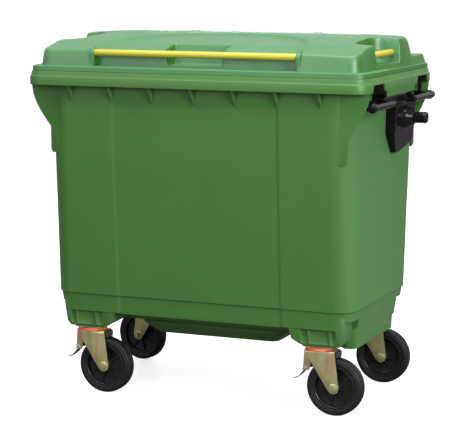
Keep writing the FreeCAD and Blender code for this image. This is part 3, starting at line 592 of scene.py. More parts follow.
def lid_height(x, y):
    """The height of the lid's top surface."""
    flange = FLANGE_Z - 0.0045 * ramp(1 - rounded_distance(x, y, LID_X, LID_Y, LID_CORNER) / 0.012, 0.3)
    mid, half = (DOME_FRONT + DOME_REAR) / 2, (DOME_REAR - DOME_FRONT) / 2
    rearward = ramp((y - 0.10) / 0.10)
    corner = DOME_RADIUS + (DOME_REAR_RADIUS - DOME_RADIUS) * (y > mid)
    dome_x = DOME_FRONT_X + (DOME_REAR_X - DOME_FRONT_X) * ramp((y + 0.22) / 0.20)
    inside = rounded_distance(x, y - mid, dome_x, half, corner)
    roof = roof_height(x, y)
    arch = np.hypot(x / ARCH_HALF, np.maximum(y - ARCH_FOOT, 0) / (ARCH_TIP - ARCH_FOOT))
    roof = roof - ARCH_DEPTH * ramp((1 - arch) / 0.022, 0.3)
    ex, ey, er = EMBOSS
    away = np.hypot(x - ex, y - ey) / er
    roof = roof + 0.0013 * (ramp((1.0 - away) / 0.05) - ramp((0.90 - away) / 0.05))
    roof = roof + 0.0010 * (ramp((0.62 - away) / 0.06) - ramp((0.30 - away) / 0.06))
    sx, sy, hx, hy = STOPS
    pad = rounded_distance(np.abs(x) - sx, y - sy, hx, hy, 0.004)
    roof = roof + 0.005 * ramp(pad / 0.004)
    reach = DOME_ROUND + (DOME_REAR_ROUND - DOME_ROUND) * rearward
    dome = flange + (roof - flange) * (1 - (1 - np.clip(inside / reach, 0, 1)) ** 3.5)
    mid, half = (DOME_FRONT + SHELF_REAR) / 2, (SHELF_REAR - DOME_FRONT) / 2
    around = rounded_distance(x, y - mid, dome_x, half, DOME_RADIUS)
    shelf = flange + (SHELF_Z - flange) * ramp(around / 0.009)
    z = np.maximum(dome, shelf) - 0.0022 * ramp((around + 0.0055) / 0.0015) * ramp((0.0005 - around) / 0.0015)
    recess = ramp((RECESS_HALF - np.abs(x)) / 0.005) * ramp((RECESS_Y - y) / 0.006)
    z = carve(z, flange, recess)
    hand = ramp((HAND_HALF - np.abs(x - HAND_X)) / 0.007) * ramp((HAND_Y - y) / HAND_SLOPE, 0.10)
    z = carve(z, HAND_FLOOR, hand)
    px, py, qx, qy, radius = SIDE_POCKET
    side = rounded_distance(np.abs(x) - px, y - py, qx, qy, radius)
    z = carve(z, SIDE_FLOOR, ramp(side / 0.007))
    return np.maximum(z, flange - 0.0022)


def lid_plan():
    """Grid of plan points with the outer corners turned into quarter circles."""
    # Where the surface bends: (place, half width of the bend).
    along_x = [(sign * place_at, half) for sign in (-1, 1) for place_at, half in (
        (LID_X - 0.003, 0.004), (0.588, 0.010), (0.515, 0.008),
        (RECESS_HALF, 0.004), (HAND_HALF - 0.004, 0.010), (STOPS[0], 0.020),
    )]
    along_x.append((EMBOSS[0], 0.052))
    along_y = [
        (-LID_Y + 0.003, 0.004), (-0.345, 0.008), (RECESS_Y - 0.003, 0.004), (EMBOSS[1], 0.052),
        (HAND_Y, 0.004), (-0.174, 0.004), (0.042, 0.004), (STOPS[1], 0.008), (0.261, 0.010), (0.367, 0.012),
    ]
    xs = graded(LID_X, along_x)
    ys = graded(LID_Y, along_y)
    gx, gy = np.meshgrid(xs, ys, indexing="ij")
    straight_x, straight_y = LID_X - LID_CORNER, LID_Y - LID_CORNER
    px = np.clip((np.abs(gx) - straight_x) / LID_CORNER, 0, 1)
    py = np.clip((np.abs(gy) - straight_y) / LID_CORNER, 0, 1)
    both = (px > 0) & (py > 0)
    wx = np.where(both, px * np.sqrt(1 - py * py / 2), px)
    wy = np.where(both, py * np.sqrt(1 - px * px / 2), py)
    gx = np.where(px > 0, np.sign(gx) * (straight_x + LID_CORNER * wx), gx)
    gy = np.where(py > 0, np.sign(gy) * (straight_y + LID_CORNER * wy), gy)
    return gx, gy


def lid_inside_height(x, y):
    """The height of the lid's inner surface, one wall below and inside the top surface."""
    turns = np.linspace(0, 2 * math.pi, 8, endpoint=False)
    around = [lid_height(x + LID_WALL * math.cos(a), y + LID_WALL * math.sin(a)) for a in turns]
    return np.minimum(lid_height(x, y) - LID_WALL, np.min(around, axis=0) - 0.0002)


def lid_shell():
    """The lid's skin: the top surface, its edge, and an inner surface one wall below."""
    gx, gy = lid_plan()
    gz = lid_height(gx, gy)
    edge = rounded_distance(gx, gy, LID_X, LID_Y, LID_CORNER)
    hollow = ramp((edge - 0.030) / 0.004)
    uz = np.maximum(LID_BASE + hollow * (lid_inside_height(gx, gy) - LID_BASE), LID_BASE)
    nx, ny = gx.shape
    top = np.stack([gx, gy, gz], -1).reshape(-1, 3)
    low = np.stack([gx, gy, uz], -1).reshape(-1, 3)
    index = np.arange(nx * ny).reshape(nx, ny)
    quads = np.stack([index[:-1, :-1], index[1:, :-1], index[1:, 1:], index[:-1, 1:]], -1).reshape(-1, 4)
    shift = nx * ny
    rim = np.concatenate([index[:, 0], index[-1, 1:], index[-2::-1, -1], index[0, -2:0:-1]])
    faces = [tuple(q) for q in quads] + [tuple(q[::-1] + shift) for q in quads]
    faces += [(rim[k], rim[k - 1], rim[k - 1] + shift, rim[k] + shift) for k in range(len(rim))]
    return add_mesh("lid_shell", np.concatenate([top, low]), faces)


def lid_knuckle():
    """The lid's hinge eye on the right, joined to the rear flange."""
    _, y, z = centre_of("right_hinge_pin")
    root, radius, half = 0.330, 0.012, 0.022
    outline = [(root, z - 0.011), (y, z - radius), *arc(y, z, radius, -75, 90, 12)]
    outline += [(y - radius, z + 0.005), (root, z + 0.004)]
    eye = prism("knuckle", outline, 0, HINGE_X - half, HINGE_X + half)
    return bevel(eye, 0.0012, 2, 40)


def bar_sockets():
    """Rounded bosses that hold each end of the front grip bar."""
    _, y, z = centre_of("lid_front_grip_bar")
    front, rear, foot = y - SOCKET_RADIUS, RECESS_Y + 0.012, FLANGE_Z - 0.002
    crown = arc(y, z, SOCKET_RADIUS, 180, 60, 9)
    outline = [(front, foot), (front, z), *crown, (rear, z + 0.008), (rear, foot)]
    sockets = []
    for sign in (-1, 1):
        x0, x1 = sorted((sign * SOCKET_INNER, sign * (RECESS_HALF + 0.006)))
        sockets.append(bevel(prism("socket", outline, 0, x0, x1), 0.0018, 2, 40))
    return sockets


def lid():
    """The whole lid as one closed mesh, notched round the tub's hinge lugs."""
    body = lid_shell()
    half = 0.041
    for x in (-HINGE_X, HINGE_X):
        notch = block("notch", x - half, x + half, 0.336, 0.42, LID_BASE - 0.02, 1.25)
        body = boolean(body, notch, "DIFFERENCE")
    eye = lid_knuckle()
    pieces = join("lid_extras", [eye, mirrored(eye, "eye", (-1, 1)), *bar_sockets()])
    body = boolean(body, pieces, "UNION")
    body.name = "lid_body"
    return shade(body, 32)


def grip_bar(node, axis, trim):
    """A yellow sleeve with softly rounded ends, where the CAD bar is; trim is what its sockets hide."""
    low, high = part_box(node)
    radius = (high.z - low.z) / 2
    half = (high[axis] - low[axis]) / 2 - trim
    spigot, spigot_radius, tip_radius, rounding = 0.004, 0.0068, 0.006, 0.003
    ends = arc(0.0, 0.0, rounding, 0, 90, 4)
    near, far = half + spigot * 0.8, half + spigot * 0.9
    profile = [(tip_radius, -far), (spigot_radius, -near), (spigot_radius, -half)]
    profile += [(radius - rounding + b, -half + rounding - a) for a, b in ends]
    profile += [(radius, -half * 0.5), (radius, 0.0), (radius, half * 0.5)]
    profile += [(radius - rounding + b, half - rounding + a) for a, b in ends[::-1]]
    profile += [(spigot_radius, half), (spigot_radius, near), (tip_radius, far)]
    return shade(lathe(node + "_sleeve", profile, (low + high) / 2, axis, 48), 40)


# ------------------------------ side brackets
def melt(obj, voxel, rounds):
    """Fuses overlapping solids into one skin and softens every edge a little."""
    fuse = obj.modifiers.new("fuse", "REMESH")
    fuse.mode = "VOXEL"
    fuse.voxel_size = voxel
    soften_step = obj.modifiers.new("soften", "SMOOTH")
    soften_step.factor = 0.5
    soften_step.iterations = rounds
    return bake(obj)


def capsule(name, centre, axis, half, radius):
    """A round bar with softly rounded ends."""
    tip = radius * 0.45
    profile = [(0.0002, -half)] + [(radius - tip + a, -half + tip + b) for a, b in arc(0, 0, tip, -90, 0, 5)]
    profile += [(radius - tip + a, half - tip + b) for a, b in arc(0, 0, tip, 0, 90, 5)] + [(0.0002, half)]
    return lathe(name, profile, centre, axis, 40)


def side_bracket(front_reach, front_arms):
    """A bracket in the right-hand position: beam, two D handles, shield and trunnion boss."""
    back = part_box("right_side_bracket")[0].x
    _, pin_y, pin_z = centre_of("right_trunnion_pin")
    beam_low, beam_high = BEAM_Z
    beam = block("beam", back, BEAM_FACE, -0.122, 0.122, beam_low, beam_high)
    rail = block("rail", back, RAIL_FACE, -BEAM_HALF, BEAM_HALF, beam_low, beam_low + 0.025)
    pieces = [bevel(beam, 0.006, 3), bevel(rail, 0.003, 3)]
    for sign, (y0, y1), arms in ((-1, front_reach, front_arms), (1, REAR_HANDLE, ARMS)):
        pieces.append(capsule("bar", (HANDLE_X, (y0 + y1) / 2, HANDLE_Z), 1, (y1 - y0) / 2, HANDLE_RADIUS))
        corner = (HANDLE_X - 0.004, sign * arms[1], HANDLE_Z)
        pieces.append(capsule("knuckle", corner, 1, 0.015, KNUCKLE_RADIUS))
        for y in arms:
            middle = ((back + 0.001 + HANDLE_X) / 2, sign * y, HANDLE_Z)
            pieces.append(capsule("arm", middle, 0, (HANDLE_X - back) / 2, ARM_RADIUS))
    face = BEAM_FACE - 0.0002
    for y in NECKS:
        y0, y1 = y - NECK_HALF, y + NECK_HALF
        pieces.append(bevel(block("neck", 0.600, face, y0, y1, beam_low + 0.005, NECK_TOP), 0.002, 2))
        pieces.append(bevel(block("foot", back, face, y0, y1, beam_low + 0.004, 1.074), 0.002, 2))
    shield_top = beam_low + 0.006
    outline = [(0.036, shield_top), (0.258, shield_top), (0.258, 0.912), *arc(0.252, 0.904, 0.006, 0, -80, 4)]
    outline += [(0.190, 0.8825), (0.124, 0.870), *arc(0.094, 0.884, 0.014, -80, -140, 4), (0.034, 0.936)]
    outline += arc(0.036, 0.946, 0.008, -140, -180, 3)
    shield = prism("shield", outline, 0, back, SHIELD_FACE)
    slope = [(SHIELD_FACE + 0.001, 0.972), (0.584, 0.865), (0.66, 0.85), (0.66, 0.972)]
    taper = prism("taper", slope, 1, -0.05, 0.30)
    pieces.append(bevel(boolean(shield, taper, "DIFFERENCE"), 0.005, 3, 20))
    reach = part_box("right_trunnion_pin")[1].x - PIN_LENGTH
    profile = [
        (0.0002, 0.596), (0.044, 0.596), (0.0425, 0.606), (0.0395, 0.615), (0.0345, 0.624),
        (0.0285, 0.631), (0.0245, 0.636), (0.0235, reach), (0.0002, reach),
    ]
    pieces.append(lathe("boss", profile, (0, pin_y, pin_z), 0, 64))
    body = melt(join("side_bracket", pieces), 0.0017, 4)
    return shade(body, 60)


def trunnion_pin():
    """The round lifting pin with shallow turned grooves and a rounded end."""
    low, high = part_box("right_trunnion_pin")
    _, y, z = centre_of("right_trunnion_pin")
    radius = (high.z - low.z) / 2
    start, end = high.x - PIN_LENGTH, high.x
    root, groove = 0.0155, radius - 0.0012
    profile = [(0.0002, start - 0.020), (root, start - 0.020), (root, start)]
    profile += [(radius - 0.001, start), (radius, start + 0.001)]
    for x in (start + 0.010, start + 0.019, start + 0.028):
        profile += [(radius, x), (groove, x + 0.001), (groove, x + 0.003), (radius, x + 0.004)]
    profile += [(radius - 0.004 + a, end - 0.004 + b) for a, b in arc(0, 0, 0.004, 0, 90, 5)]
    profile += [(0.010, end), (0.009, end - 0.003), (0.0002, end - 0.003)]
    return shade(lathe("trunnion", profile, (0, y, z), 0, 64), 35)


# ------------------------------ casters, built about the swivel axis
def fork(braked):
    """A bent-sheet fork: crown, two legs with round axle bosses, and the pedal's cheeks on a braked one."""
    half, top, bend, low = FORK_HALF, FORK_TOP, 0.009, 0.070
    outer = [(half, low), *arc(half - bend, top - bend, bend, 0, 90, 7)]
    inner = [(half - SHEET, low), *arc(half - bend, top - bend, bend - SHEET, 0, 90, 7)]
    strip = outer + [(-y, z) for y, z in outer[::-1]] + [(-y, z) for y, z in inner] + inner[::-1]
    body = prism("fork", strip, 0, -0.060, 0.090)
    outline = [(CROWN_FRONT, 0.230), (CROWN_REAR, 0.230), (CROWN_REAR, 0.222), (CROWN_REAR + 0.002, 0.212)]
    outline += arc(TRAIL, AXLE_Z, 0.0205, 8, -146, 16)
    outline += [(-0.014, 0.170), (-0.022, 0.182), (-0.036, 0.205), (CROWN_FRONT, 0.214)]
    body = boolean(body, prism("side_view", outline, 1, -0.05, 0.05), "INTERSECT")
    pieces = [bevel(body, 0.0011, 2, 40)]
    for sign in (-1, 1):
        profile = [(0.0065, -0.001), (0.0165, -0.001), (0.0150, 0.0016), (0.0125, 0.0026), (0.0065, 0.0028)]
        dome = lathe("axle_boss", profile, (0, 0, 0), 1, 48)
        if sign < 0:
            dome.data.transform(Matrix.Scale(-1, 4, (0, 1, 0)))
            dome.data.flip_normals()
        dome.data.transform(Matrix.Translation((TRAIL, sign * half, AXLE_Z)))
        pieces.append(dome)
    if braked:
        pieces += pedal_cheeks()
    return shade(join("fork_body", pieces), 35)


def pedal_cheeks():
    """Two plates that carry the brake pedal in front of the fork, and the lip that joins them."""
    px, pz = PEDAL_PIVOT
    near, far = CHEEKS
    top, front = FORK_TOP, px - 0.005
    outline = [(px - 0.011, pz - 0.009), (px - 0.004, pz - 0.011), (px + 0.014, pz - 0.008), (-0.024, 0.200)]
    outline += [(-0.024, top - 0.001), (front, top - 0.001), (px - 0.008, pz + 0.012)]
    cheeks = [prism("cheek", outline, 1, y0, y1) for y0, y1 in ((-far, -near), (near, far))]
    lip = block("front_lip", front, CROWN_FRONT + 0.002, -far, far, top - 0.004, top - 0.0002)
    return [*(bevel(cheek, 0.0009, 2) for cheek in cheeks), bevel(lip, 0.001, 2)]


def brake_pedal():
    """A thin bent blade with a turned-up tip and a hub on its pivot."""
    px, pz = PEDAL_PIVOT
    tip = np.array([px - 0.044, pz - 0.047])
    start = np.array([px, pz])
    along = (tip - start) / np.hypot(*(tip - start))
    across = np.array([-along[1], along[0]])
    upper, lower = [], []
    for t in np.linspace(0, 1, 12):
        bow = -0.004 * math.sin(math.pi * t) + 0.005 * max(t - 0.8, 0) / 0.2
        middle = start + (tip - start) * t - across * bow
        thick = 0.0021 - 0.0006 * t
        upper.append(tuple(middle + across * thick))
        lower.append(tuple(middle - across * thick))
    blade = bevel(prism("blade", upper + lower[::-1], 1, -0.0165, 0.0165), 0.0012, 3, 40)
    bore, radius, half = 0.0042, 0.008, 0.021
    side = [(radius, half - 0.0005), (radius - 0.0005, half), (bore, half)]
    profile = [(r, -y) for r, y in side[::-1]] + side
    hub = lathe("hub", profile, (px, 0, pz), 1, 40)
    return shade(join("pedal", [blade, hub]), 35)


def tyre():
    """A solid tyre: crowned tread, round shoulders and a raised ring on each sidewall."""
    half, shoulder = 0.024, 0.0105
    right = [(0.0762, half - 0.0022), (0.0785, half - 0.0006), (0.0825, half - 0.0004)]
    right += [(0.0838, half + 0.0004), (0.0872, half + 0.0004), (0.0885, half - 0.0010)]
    right += [(WHEEL_RADIUS - shoulder + a, half - shoulder + b) for a, b in arc(0, 0, 0.0100, 84, 8, 9)]
    right += [(WHEEL_RADIUS, 0.006)]
    profile = right + [(r, -y) for r, y in right[::-1]]
    return shade(lathe("tyre", profile, (TRAIL, 0, AXLE_Z), 1, 144), 30)


def wheel_centre():
    """The wheel's moulded centre: hub, thin web, rim band and radial ribs."""
    hub = [(0.0102, 0.0272), (0.0195, 0.0275), (0.0210, 0.0262), (0.0222, 0.0100), (0.0235, 0.0058)]
    web = [(0.0300, 0.0050), (0.0600, 0.0050), (0.0655, 0.0062), (0.0672, 0.0100)]
    band = [(0.0685, 0.0208), (0.0697, 0.0220), (0.0752, 0.0220), (0.0760, 0.0212)]
    half = hub + web + band
    profile = half + [(r, -y) for r, y in half[::-1]]
    body = lathe("centre", profile, (0, 0, 0), 1, 120)
    ribs = []
    outline = [(0.020, -0.0160), (0.068, -0.0085), (0.068, 0.0085), (0.020, 0.0160)]
    for k in range(RIBS):
        rib = bevel(prism("rib", outline, 2, -0.0017, 0.0017), 0.0008, 2)
        rib.data.transform(Matrix.Rotation(k * 2 * math.pi / RIBS + 0.2, 4, "Y"))
        ribs.append(rib)
    body = boolean(body, join("ribs", ribs), "UNION", True)
    body.data.transform(Matrix.Translation((TRAIL, 0, AXLE_Z)))
    return shade(body, 32)


def dust_ring():
    """The red ring round the swivel bearing, with rounded lips."""
    inner, outer, low, high = 0.0486, 0.0520, 0.2272, 0.2364
    profile = [
        (inner, low), (outer - 0.001, low), (outer, low + 0.001), (outer, low + 0.004),
        (outer - 0.0008, low + 0.005), (outer - 0.0002, high - 0.001), (outer - 0.0012, high), (inner, high),
    ]
    return shade(lathe("dust_ring", profile, (0, 0, 0), 2, 96), 35)


def casters():
    """Every caster's new pieces, turned to the heading its CAD wheel rests at."""
    for corner in CORNERS:
        x, y, _ = centre_of(corner + "_top_plate")
        wheel_x, wheel_y, _ = centre_of(corner + "_tyre")
        heading = math.atan2(wheel_y - y, wheel_x - x)
        stand = Matrix.Translation((x, y, 0)) @ Matrix.Rotation(heading, 4, "Z")
        swivel, spin = corner + "_swivel", corner + "_wheel"
        braked = corner in BRAKED
        rows = [(fork(braked), swivel, "yellow_zinc_steel", corner + "_fork"),
                (dust_ring(), swivel, "red_plastic", corner + "_swivel_ring"),
                (tyre(), spin, "black_rubber", corner + "_tyre"),
                (wheel_centre(), spin, "black_wheel_plastic", corner + "_wheel_centre")]
        if braked:
            rows.append((brake_pedal(), corner + "_pedal", "dark_steel", corner + "_brake_pedal"))
        for obj, body, slot_name, node in rows:
            obj.data.transform(stand)
            obj.name = node + "_shape"
            place(obj, body, slot_name, node)


# ------------------------------ materials
def new_material(name):
    """A material with one principled shader, and the texture coordinates it is built on."""
    material = bpy.data.materials.new(name)
    material.use_nodes = True
    tree = material.node_tree
    tree.nodes.clear()
    output = tree.nodes.new("ShaderNodeOutputMaterial")
    shader = tree.nodes.new("ShaderNodeBsdfPrincipled")
    tree.links.new(shader.outputs[0], output.inputs[0])
    coordinates = tree.nodes.new("ShaderNodeTexCoord")
    return material, tree, shader, coordinates


def noise(tree, coordinates, scale, detail=4.0, roughness=0.55, stretch=None):
    """A noise value in object space, stretched along the axes where asked."""
    node = tree.nodes.new("ShaderNodeTexNoise")
    node.inputs["Scale"].default_value = scale
    node.inputs["Detail"].default_value = detail
    node.inputs["Roughness"].default_value = roughness
    source = coordinates.outputs["Object"]
    if stretch:
        mapping = tree.nodes.new("ShaderNodeMapping")
        mapping.inputs["Scale"].default_value = stretch
        tree.links.new(source, mapping.inputs["Vector"])
        source = mapping.outputs["Vector"]
    tree.links.new(source, node.inputs["Vector"])
    return node.outputs["Fac"]


def remap(tree, value, low, high, from_low=0.3, from_high=0.7):
    node = tree.nodes.new("ShaderNodeMapRange")
    node.inputs["From Min"].default_value = from_low
    node.inputs["From Max"].default_value = from_high
    node.inputs["To Min"].default_value = low
    node.inputs["To Max"].default_value = high
    tree.links.new(value, node.inputs["Value"])
    return node.outputs["Result"]


def mix_colours(tree, factor, first, second):
    node = tree.nodes.new("ShaderNodeMix")
    node.data_type = "RGBA"
    for socket, value in ((6, first), (7, second)):
        if isinstance(value, tuple):
            node.inputs[socket].default_value = (*value, 1.0)
        else:
            tree.links.new(value, node.inputs[socket])
    if isinstance(factor, float):
        node.inputs[0].default_value = factor
    else:
        tree.links.new(factor, node.inputs[0])
    return node.outputs[2]


def bump(tree, shader, heights):
    """Chains (height, strength, distance) bumps into the shader's normal."""
    previous = None
    for height, strength, distance in heights:
        node = tree.nodes.new("ShaderNodeBump")
        node.inputs["Strength"].default_value = strength
        node.inputs["Distance"].default_value = distance
        tree.links.new(height, node.inputs["Height"])
        if previous:
            tree.links.new(previous, node.inputs["Normal"])
        previous = node.outputs["Normal"]
    tree.links.new(previous, shader.inputs["Normal"])


def edge_wear(tree):
    """A mask that is high along convex edges."""
    geometry = tree.nodes.new("ShaderNodeNewGeometry")
    return remap(tree, geometry.outputs["Pointiness"], 0.0, 1.0, 0.52, 0.60)


def moulded_plastic(
    name, colour, light, roughness, shine=0.5, grain=900.0, grain_depth=0.00012, wear=0.12,
    side=None, painted_side_light_top=9.0,
):
    """Satin moulded plastic with fine grain, faint mottling and paler edges; below a given height the faces
    that look sideways get another tone, painted light standing in for the light that falls on the sides."""
    material, tree, shader, coordinates = new_material(name)
    mottled = remap(tree, noise(tree, coordinates, 3.0), 0.0, 1.0)
    tone = mix_colours(tree, mottled, colour, tuple(c * 1.10 for c in colour))
    # Painted light: below the given height, faces that look sideways are mixed towards the side colour in
    # place of the light the sides get.
    if side:
        facing = tree.nodes.new("ShaderNodeSeparateXYZ")
        tree.links.new(coordinates.outputs["Normal"], facing.inputs[0])
        sideways = tree.nodes.new("ShaderNodeMath")
        sideways.operation = "ABSOLUTE"
        tree.links.new(facing.outputs["X"], sideways.inputs[0])
        height = tree.nodes.new("ShaderNodeSeparateXYZ")
        tree.links.new(coordinates.outputs["Object"], height.inputs[0])
        painted_side_light_mask = tree.nodes.new("ShaderNodeMath")
        painted_side_light_mask.operation = "MULTIPLY"
        tree.links.new(remap(tree, sideways.outputs[0], 0.0, 1.0, 0.55, 0.95), painted_side_light_mask.inputs[0])
        tree.links.new(remap(tree, height.outputs["Z"], 1.0, 0.0, painted_side_light_top - 0.02, painted_side_light_top), painted_side_light_mask.inputs[1])
        tone = mix_colours(tree, painted_side_light_mask.outputs[0], tone, side)
    worn = tree.nodes.new("ShaderNodeMath")
    worn.operation = "MULTIPLY"
    worn.inputs[1].default_value = wear
    tree.links.new(edge_wear(tree), worn.inputs[0])
    tree.links.new(mix_colours(tree, worn.outputs[0], tone, light), shader.inputs["Base Color"])
    rough = remap(tree, noise(tree, coordinates, 14.0), roughness - 0.04, roughness + 0.05)
    tree.links.new(rough, shader.inputs["Roughness"])
    shader.inputs["Specular IOR Level"].default_value = shine
    fine = noise(tree, coordinates, grain, 2.0)
    wave = noise(tree, coordinates, 9.0, 2.0)
    bump(tree, shader, [(wave, 0.35, 0.0009), (fine, 0.5, grain_depth)])
    return material


def passivated_steel(name):
    """Yellow zinc passivation: gold with pink and green clouds, finely brushed."""
    material, tree, shader, coordinates = new_material(name)
    cloud = noise(tree, coordinates, 24.0, 2.0, 0.5, (1.0, 1.0, 0.16))
    bands = tree.nodes.new("ShaderNodeValToRGB")
    tree.links.new(cloud, bands.inputs["Fac"])
    stops = (
        (0.28, (0.24, 0.27, 0.13)), (0.42, (0.36, 0.35, 0.17)), (0.54, (0.40, 0.34, 0.18)),
        (0.64, (0.36, 0.22, 0.13)), (0.74, (0.34, 0.35, 0.19)),
    )
    ramp_stops = bands.color_ramp.elements
    while len(ramp_stops) < len(stops):
        ramp_stops.new(0.5)
    for element, (position, colour) in zip(ramp_stops, stops):
        element.position = position
        element.color = (*colour, 1.0)
    tree.links.new(bands.outputs["Color"], shader.inputs["Base Color"])
    shader.inputs["Metallic"].default_value = 0.85
    rough = remap(tree, noise(tree, coordinates, 60.0), 0.30, 0.48)
    tree.links.new(rough, shader.inputs["Roughness"])
    scratches = noise(tree, coordinates, 140.0, 2.0, 0.5, (1.0, 1.0, 0.08))
    bump(tree, shader, [(scratches, 0.25, 0.0001)])
    return material


def bare_steel(name, colour, roughness):
    """Bright steel with a faint cloudy tone and a fine grain."""
    material, tree, shader, coordinates = new_material(name)
    cloud = remap(tree, noise(tree, coordinates, 80.0), 0.0, 1.0)
    darker = tuple(c * 0.8 for c in colour)
    tree.links.new(mix_colours(tree, cloud, colour, darker), shader.inputs["Base Color"])
    shader.inputs["Metallic"].default_value = 0.9
    tree.links.new(remap(tree, cloud, roughness, roughness + 0.15, 0, 1), shader.inputs["Roughness"])
    bump(tree, shader, [(noise(tree, coordinates, 400.0), 0.2, 0.00008)])
    return material


def rubber(name):
    """Dark rubber with a dusty bloom and a fine grain."""
    material, tree, shader, coordinates = new_material(name)
    dust = remap(tree, noise(tree, coordinates, 18.0, 5.0), 0.0, 0.35)
    tone = mix_colours(tree, dust, (0.005, 0.005, 0.006), (0.014, 0.014, 0.016))
    tree.links.new(tone, shader.inputs["Base Color"])
    tree.links.new(remap(tree, noise(tree, coordinates, 40.0), 0.42, 0.60), shader.inputs["Roughness"])
    shader.inputs["Specular IOR Level"].default_value = 0.18
    bump(tree, shader, [(noise(tree, coordinates, 1200.0, 2.0), 0.4, 0.0001)])
    return material


# The side greens are painted light: the sideways faces of tub and lid take them in place of the light that
# falls on the sides, and the lid's bluish base green carries the painted tint of the light on its front and
# top.
TUB_GREEN = (0.034, 0.097, 0.021)
TUB_PAINTED_SIDE_LIGHT = (0.050, 0.128, 0.040)
LID_GREEN = (0.041, 0.124, 0.049)
LID_PAINTED_SIDE_LIGHT = (0.016, 0.082, 0.006)
YELLOW = (0.31, 0.265, 0.022)
RED = (0.42, 0.060, 0.022)
BLACK = (0.004, 0.004, 0.004)
WHEEL_BLACK = (0.007, 0.007, 0.008)
COATING = (0.014, 0.014, 0.015)
MATERIALS = {
    "green_tub": moulded_plastic(
        "green_tub_plastic", TUB_GREEN, (0.08, 0.18, 0.07), 0.42, 0.25, side=TUB_PAINTED_SIDE_LIGHT, painted_side_light_top=1.10),
    "green_lid": moulded_plastic(
        "green_lid_plastic", LID_GREEN, (0.10, 0.22, 0.10), 0.38, 0.30, side=LID_PAINTED_SIDE_LIGHT),
    "yellow_grip": moulded_plastic("yellow_sleeve_plastic", YELLOW, (0.45, 0.40, 0.12), 0.32, 0.4, 700.0),
    "black_plastic": moulded_plastic("black_moulding", BLACK, (0.020, 0.020, 0.023), 0.14, 0.12, 1100.0),
    "black_wheel_plastic": moulded_plastic(
        "wheel_moulding", WHEEL_BLACK, (0.02, 0.02, 0.022), 0.28, 0.22, 1000.0),
    "black_rubber": rubber("solid_rubber"),
    "red_plastic": moulded_plastic("red_ring_plastic", RED, (0.6, 0.20, 0.10), 0.35),
    "yellow_zinc_steel": passivated_steel("yellow_passivated_steel"),
    "zinc_steel": bare_steel("bright_zinc_steel", (0.60, 0.59, 0.55), 0.25),
    "dark_steel": moulded_plastic(
        "dark_coated_steel", COATING, (0.07, 0.07, 0.07), 0.42, 0.3, 500.0, 0.0001, 0.2),
}


def paint(obj, slot_name):
    """Gives an object the one material of its slot."""
    obj.data.materials.clear()
    obj.data.materials.append(MATERIALS[slot_name])
    return obj


def place(obj, body, slot_name, *nodes):
    """Paints a new piece, hangs it on its body and hides the CAD nodes it stands for."""
    paint(obj, slot_name)
    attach(obj, body)
    if nodes:
        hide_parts(*nodes)
    return obj


def dress_cad_nodes():
    """Gives every CAD node the material of its slot and smooth shading, its edges sharper than 30 degrees
    kept sharp.
    """
    slots = {row["node"]: row["material_slot"] for row in frame["record"]["subparts"]}
    for name, obj in NODES.items():
        shade(obj, 30)
        paint(obj, slots[name])


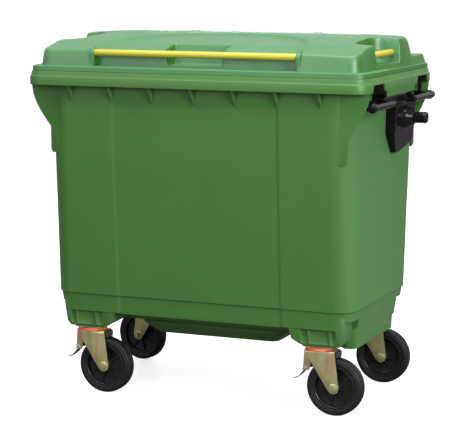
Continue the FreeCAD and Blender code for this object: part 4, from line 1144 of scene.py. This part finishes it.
# ------------------------------ stage
def studio():
    """A pale floor, a bright even sky and one large soft light overhead."""
    bpy.ops.mesh.primitive_plane_add(size=60, location=(0, 0, 0))
    floor = bpy.context.object
    floor.name = "studio_floor"
    material, tree, shader, coordinates = new_material("pale_floor")
    tone = remap(tree, noise(tree, coordinates, 0.4), 0.0, 1.0)
    seen = mix_colours(tree, tone, (0.50, 0.50, 0.495), (0.53, 0.53, 0.53))
    path = tree.nodes.new("ShaderNodeLightPath")
    direct = path.outputs["Is Camera Ray"]
    tree.links.new(mix_colours(tree, direct, (0.13, 0.13, 0.13), seen), shader.inputs["Base Color"])
    shader.inputs["Emission Color"].default_value = (1.0, 1.0, 1.0, 1.0)
    tree.links.new(remap(tree, direct, 0.0, 0.66, 0.0, 1.0), shader.inputs["Emission Strength"])
    shader.inputs["Roughness"].default_value = 0.8
    floor.data.materials.append(material)
    world = bpy.data.worlds.new("studio_sky")
    bpy.context.scene.world = world
    world.use_nodes = True
    tree = world.node_tree
    background = tree.nodes["Background"]
    background.inputs[0].default_value = (1, 1, 1, 1)
    path = tree.nodes.new("ShaderNodeLightPath")
    strength = remap(tree, path.outputs["Is Camera Ray"], 0.74, 1.10, 0.0, 1.0)
    tree.links.new(strength, background.inputs[1])
    for name, place_at, size, power in (
        ("top_softbox", (0.6, -0.9, 4.4), 3.0, 270.0),
        ("right_softbox", (4.4, -2.6, 2.3), 2.0, 330.0),
        ("front_softbox", (-2.0, -5.4, 2.6), 2.2, 90.0),
        ("left_softbox", (-1.7, -2.1, 4.2), 0.6, 34.0),
        ("rear_softbox", (-2.0, 5.2, 0.9), 1.4, 120.0),
    ):
        light = bpy.data.lights.new(name, "AREA")
        light.shape = "SQUARE"
        light.size = size
        light.energy = power
        lamp = bpy.data.objects.new(name, light)
        lamp.location = place_at
        lamp.rotation_mode = "QUATERNION"
        lamp.rotation_quaternion = (Vector((0, 0, 0.7)) - Vector(place_at)).to_track_quat("-Z", "Y")
        bpy.context.scene.collection.objects.link(lamp)
    bpy.context.scene.view_settings.view_transform = "Standard"


def camera():
    """A long lens from the right front, a little above the rim."""
    azimuth, elevation, distance = math.radians(22.72), math.radians(8.29), 6.481
    target = Vector((0.004, 0.0, 0.634))
    level = math.cos(elevation)
    back = Vector((math.sin(azimuth) * level, -math.cos(azimuth) * level, math.sin(elevation)))
    data = bpy.data.cameras.new("camera")
    data.sensor_width = 36.0
    data.lens = 138.4
    data.clip_end = 200.0
    obj = bpy.data.objects.new("camera", data)
    obj.location = target + back * distance
    obj.rotation_mode = "QUATERNION"
    obj.rotation_quaternion = (-back).to_track_quat("-Z", "Y")
    bpy.context.scene.collection.objects.link(obj)
    bpy.context.scene.camera = obj


# ------------------------------ assembly
dress_cad_nodes()
place(tub(), "root", "green_tub", "tub")
place(lid(), "lid", "green_lid", "lid")
place(grip_bar("lid_front_grip_bar", 0, 0.0155), "lid", "yellow_grip", "lid_front_grip_bar")
for hand in ("right", "left"):
    node = "lid_" + hand + "_grip_bar"
    place(grip_bar(node, 1, 0.010), "lid", "yellow_grip", node)
place(side_bracket(FRONT_HANDLE, ARMS), "root", "black_plastic", "right_side_bracket")
place(to_left(side_bracket(LEFT_FRONT_HANDLE, LEFT_FRONT_ARMS)), "root", "black_plastic", "left_side_bracket")
place(to_left(trunnion_pin()), "root", "black_plastic", "left_trunnion_pin")
place(trunnion_pin(), "root", "black_plastic", "right_trunnion_pin")
casters()
studio()
camera()
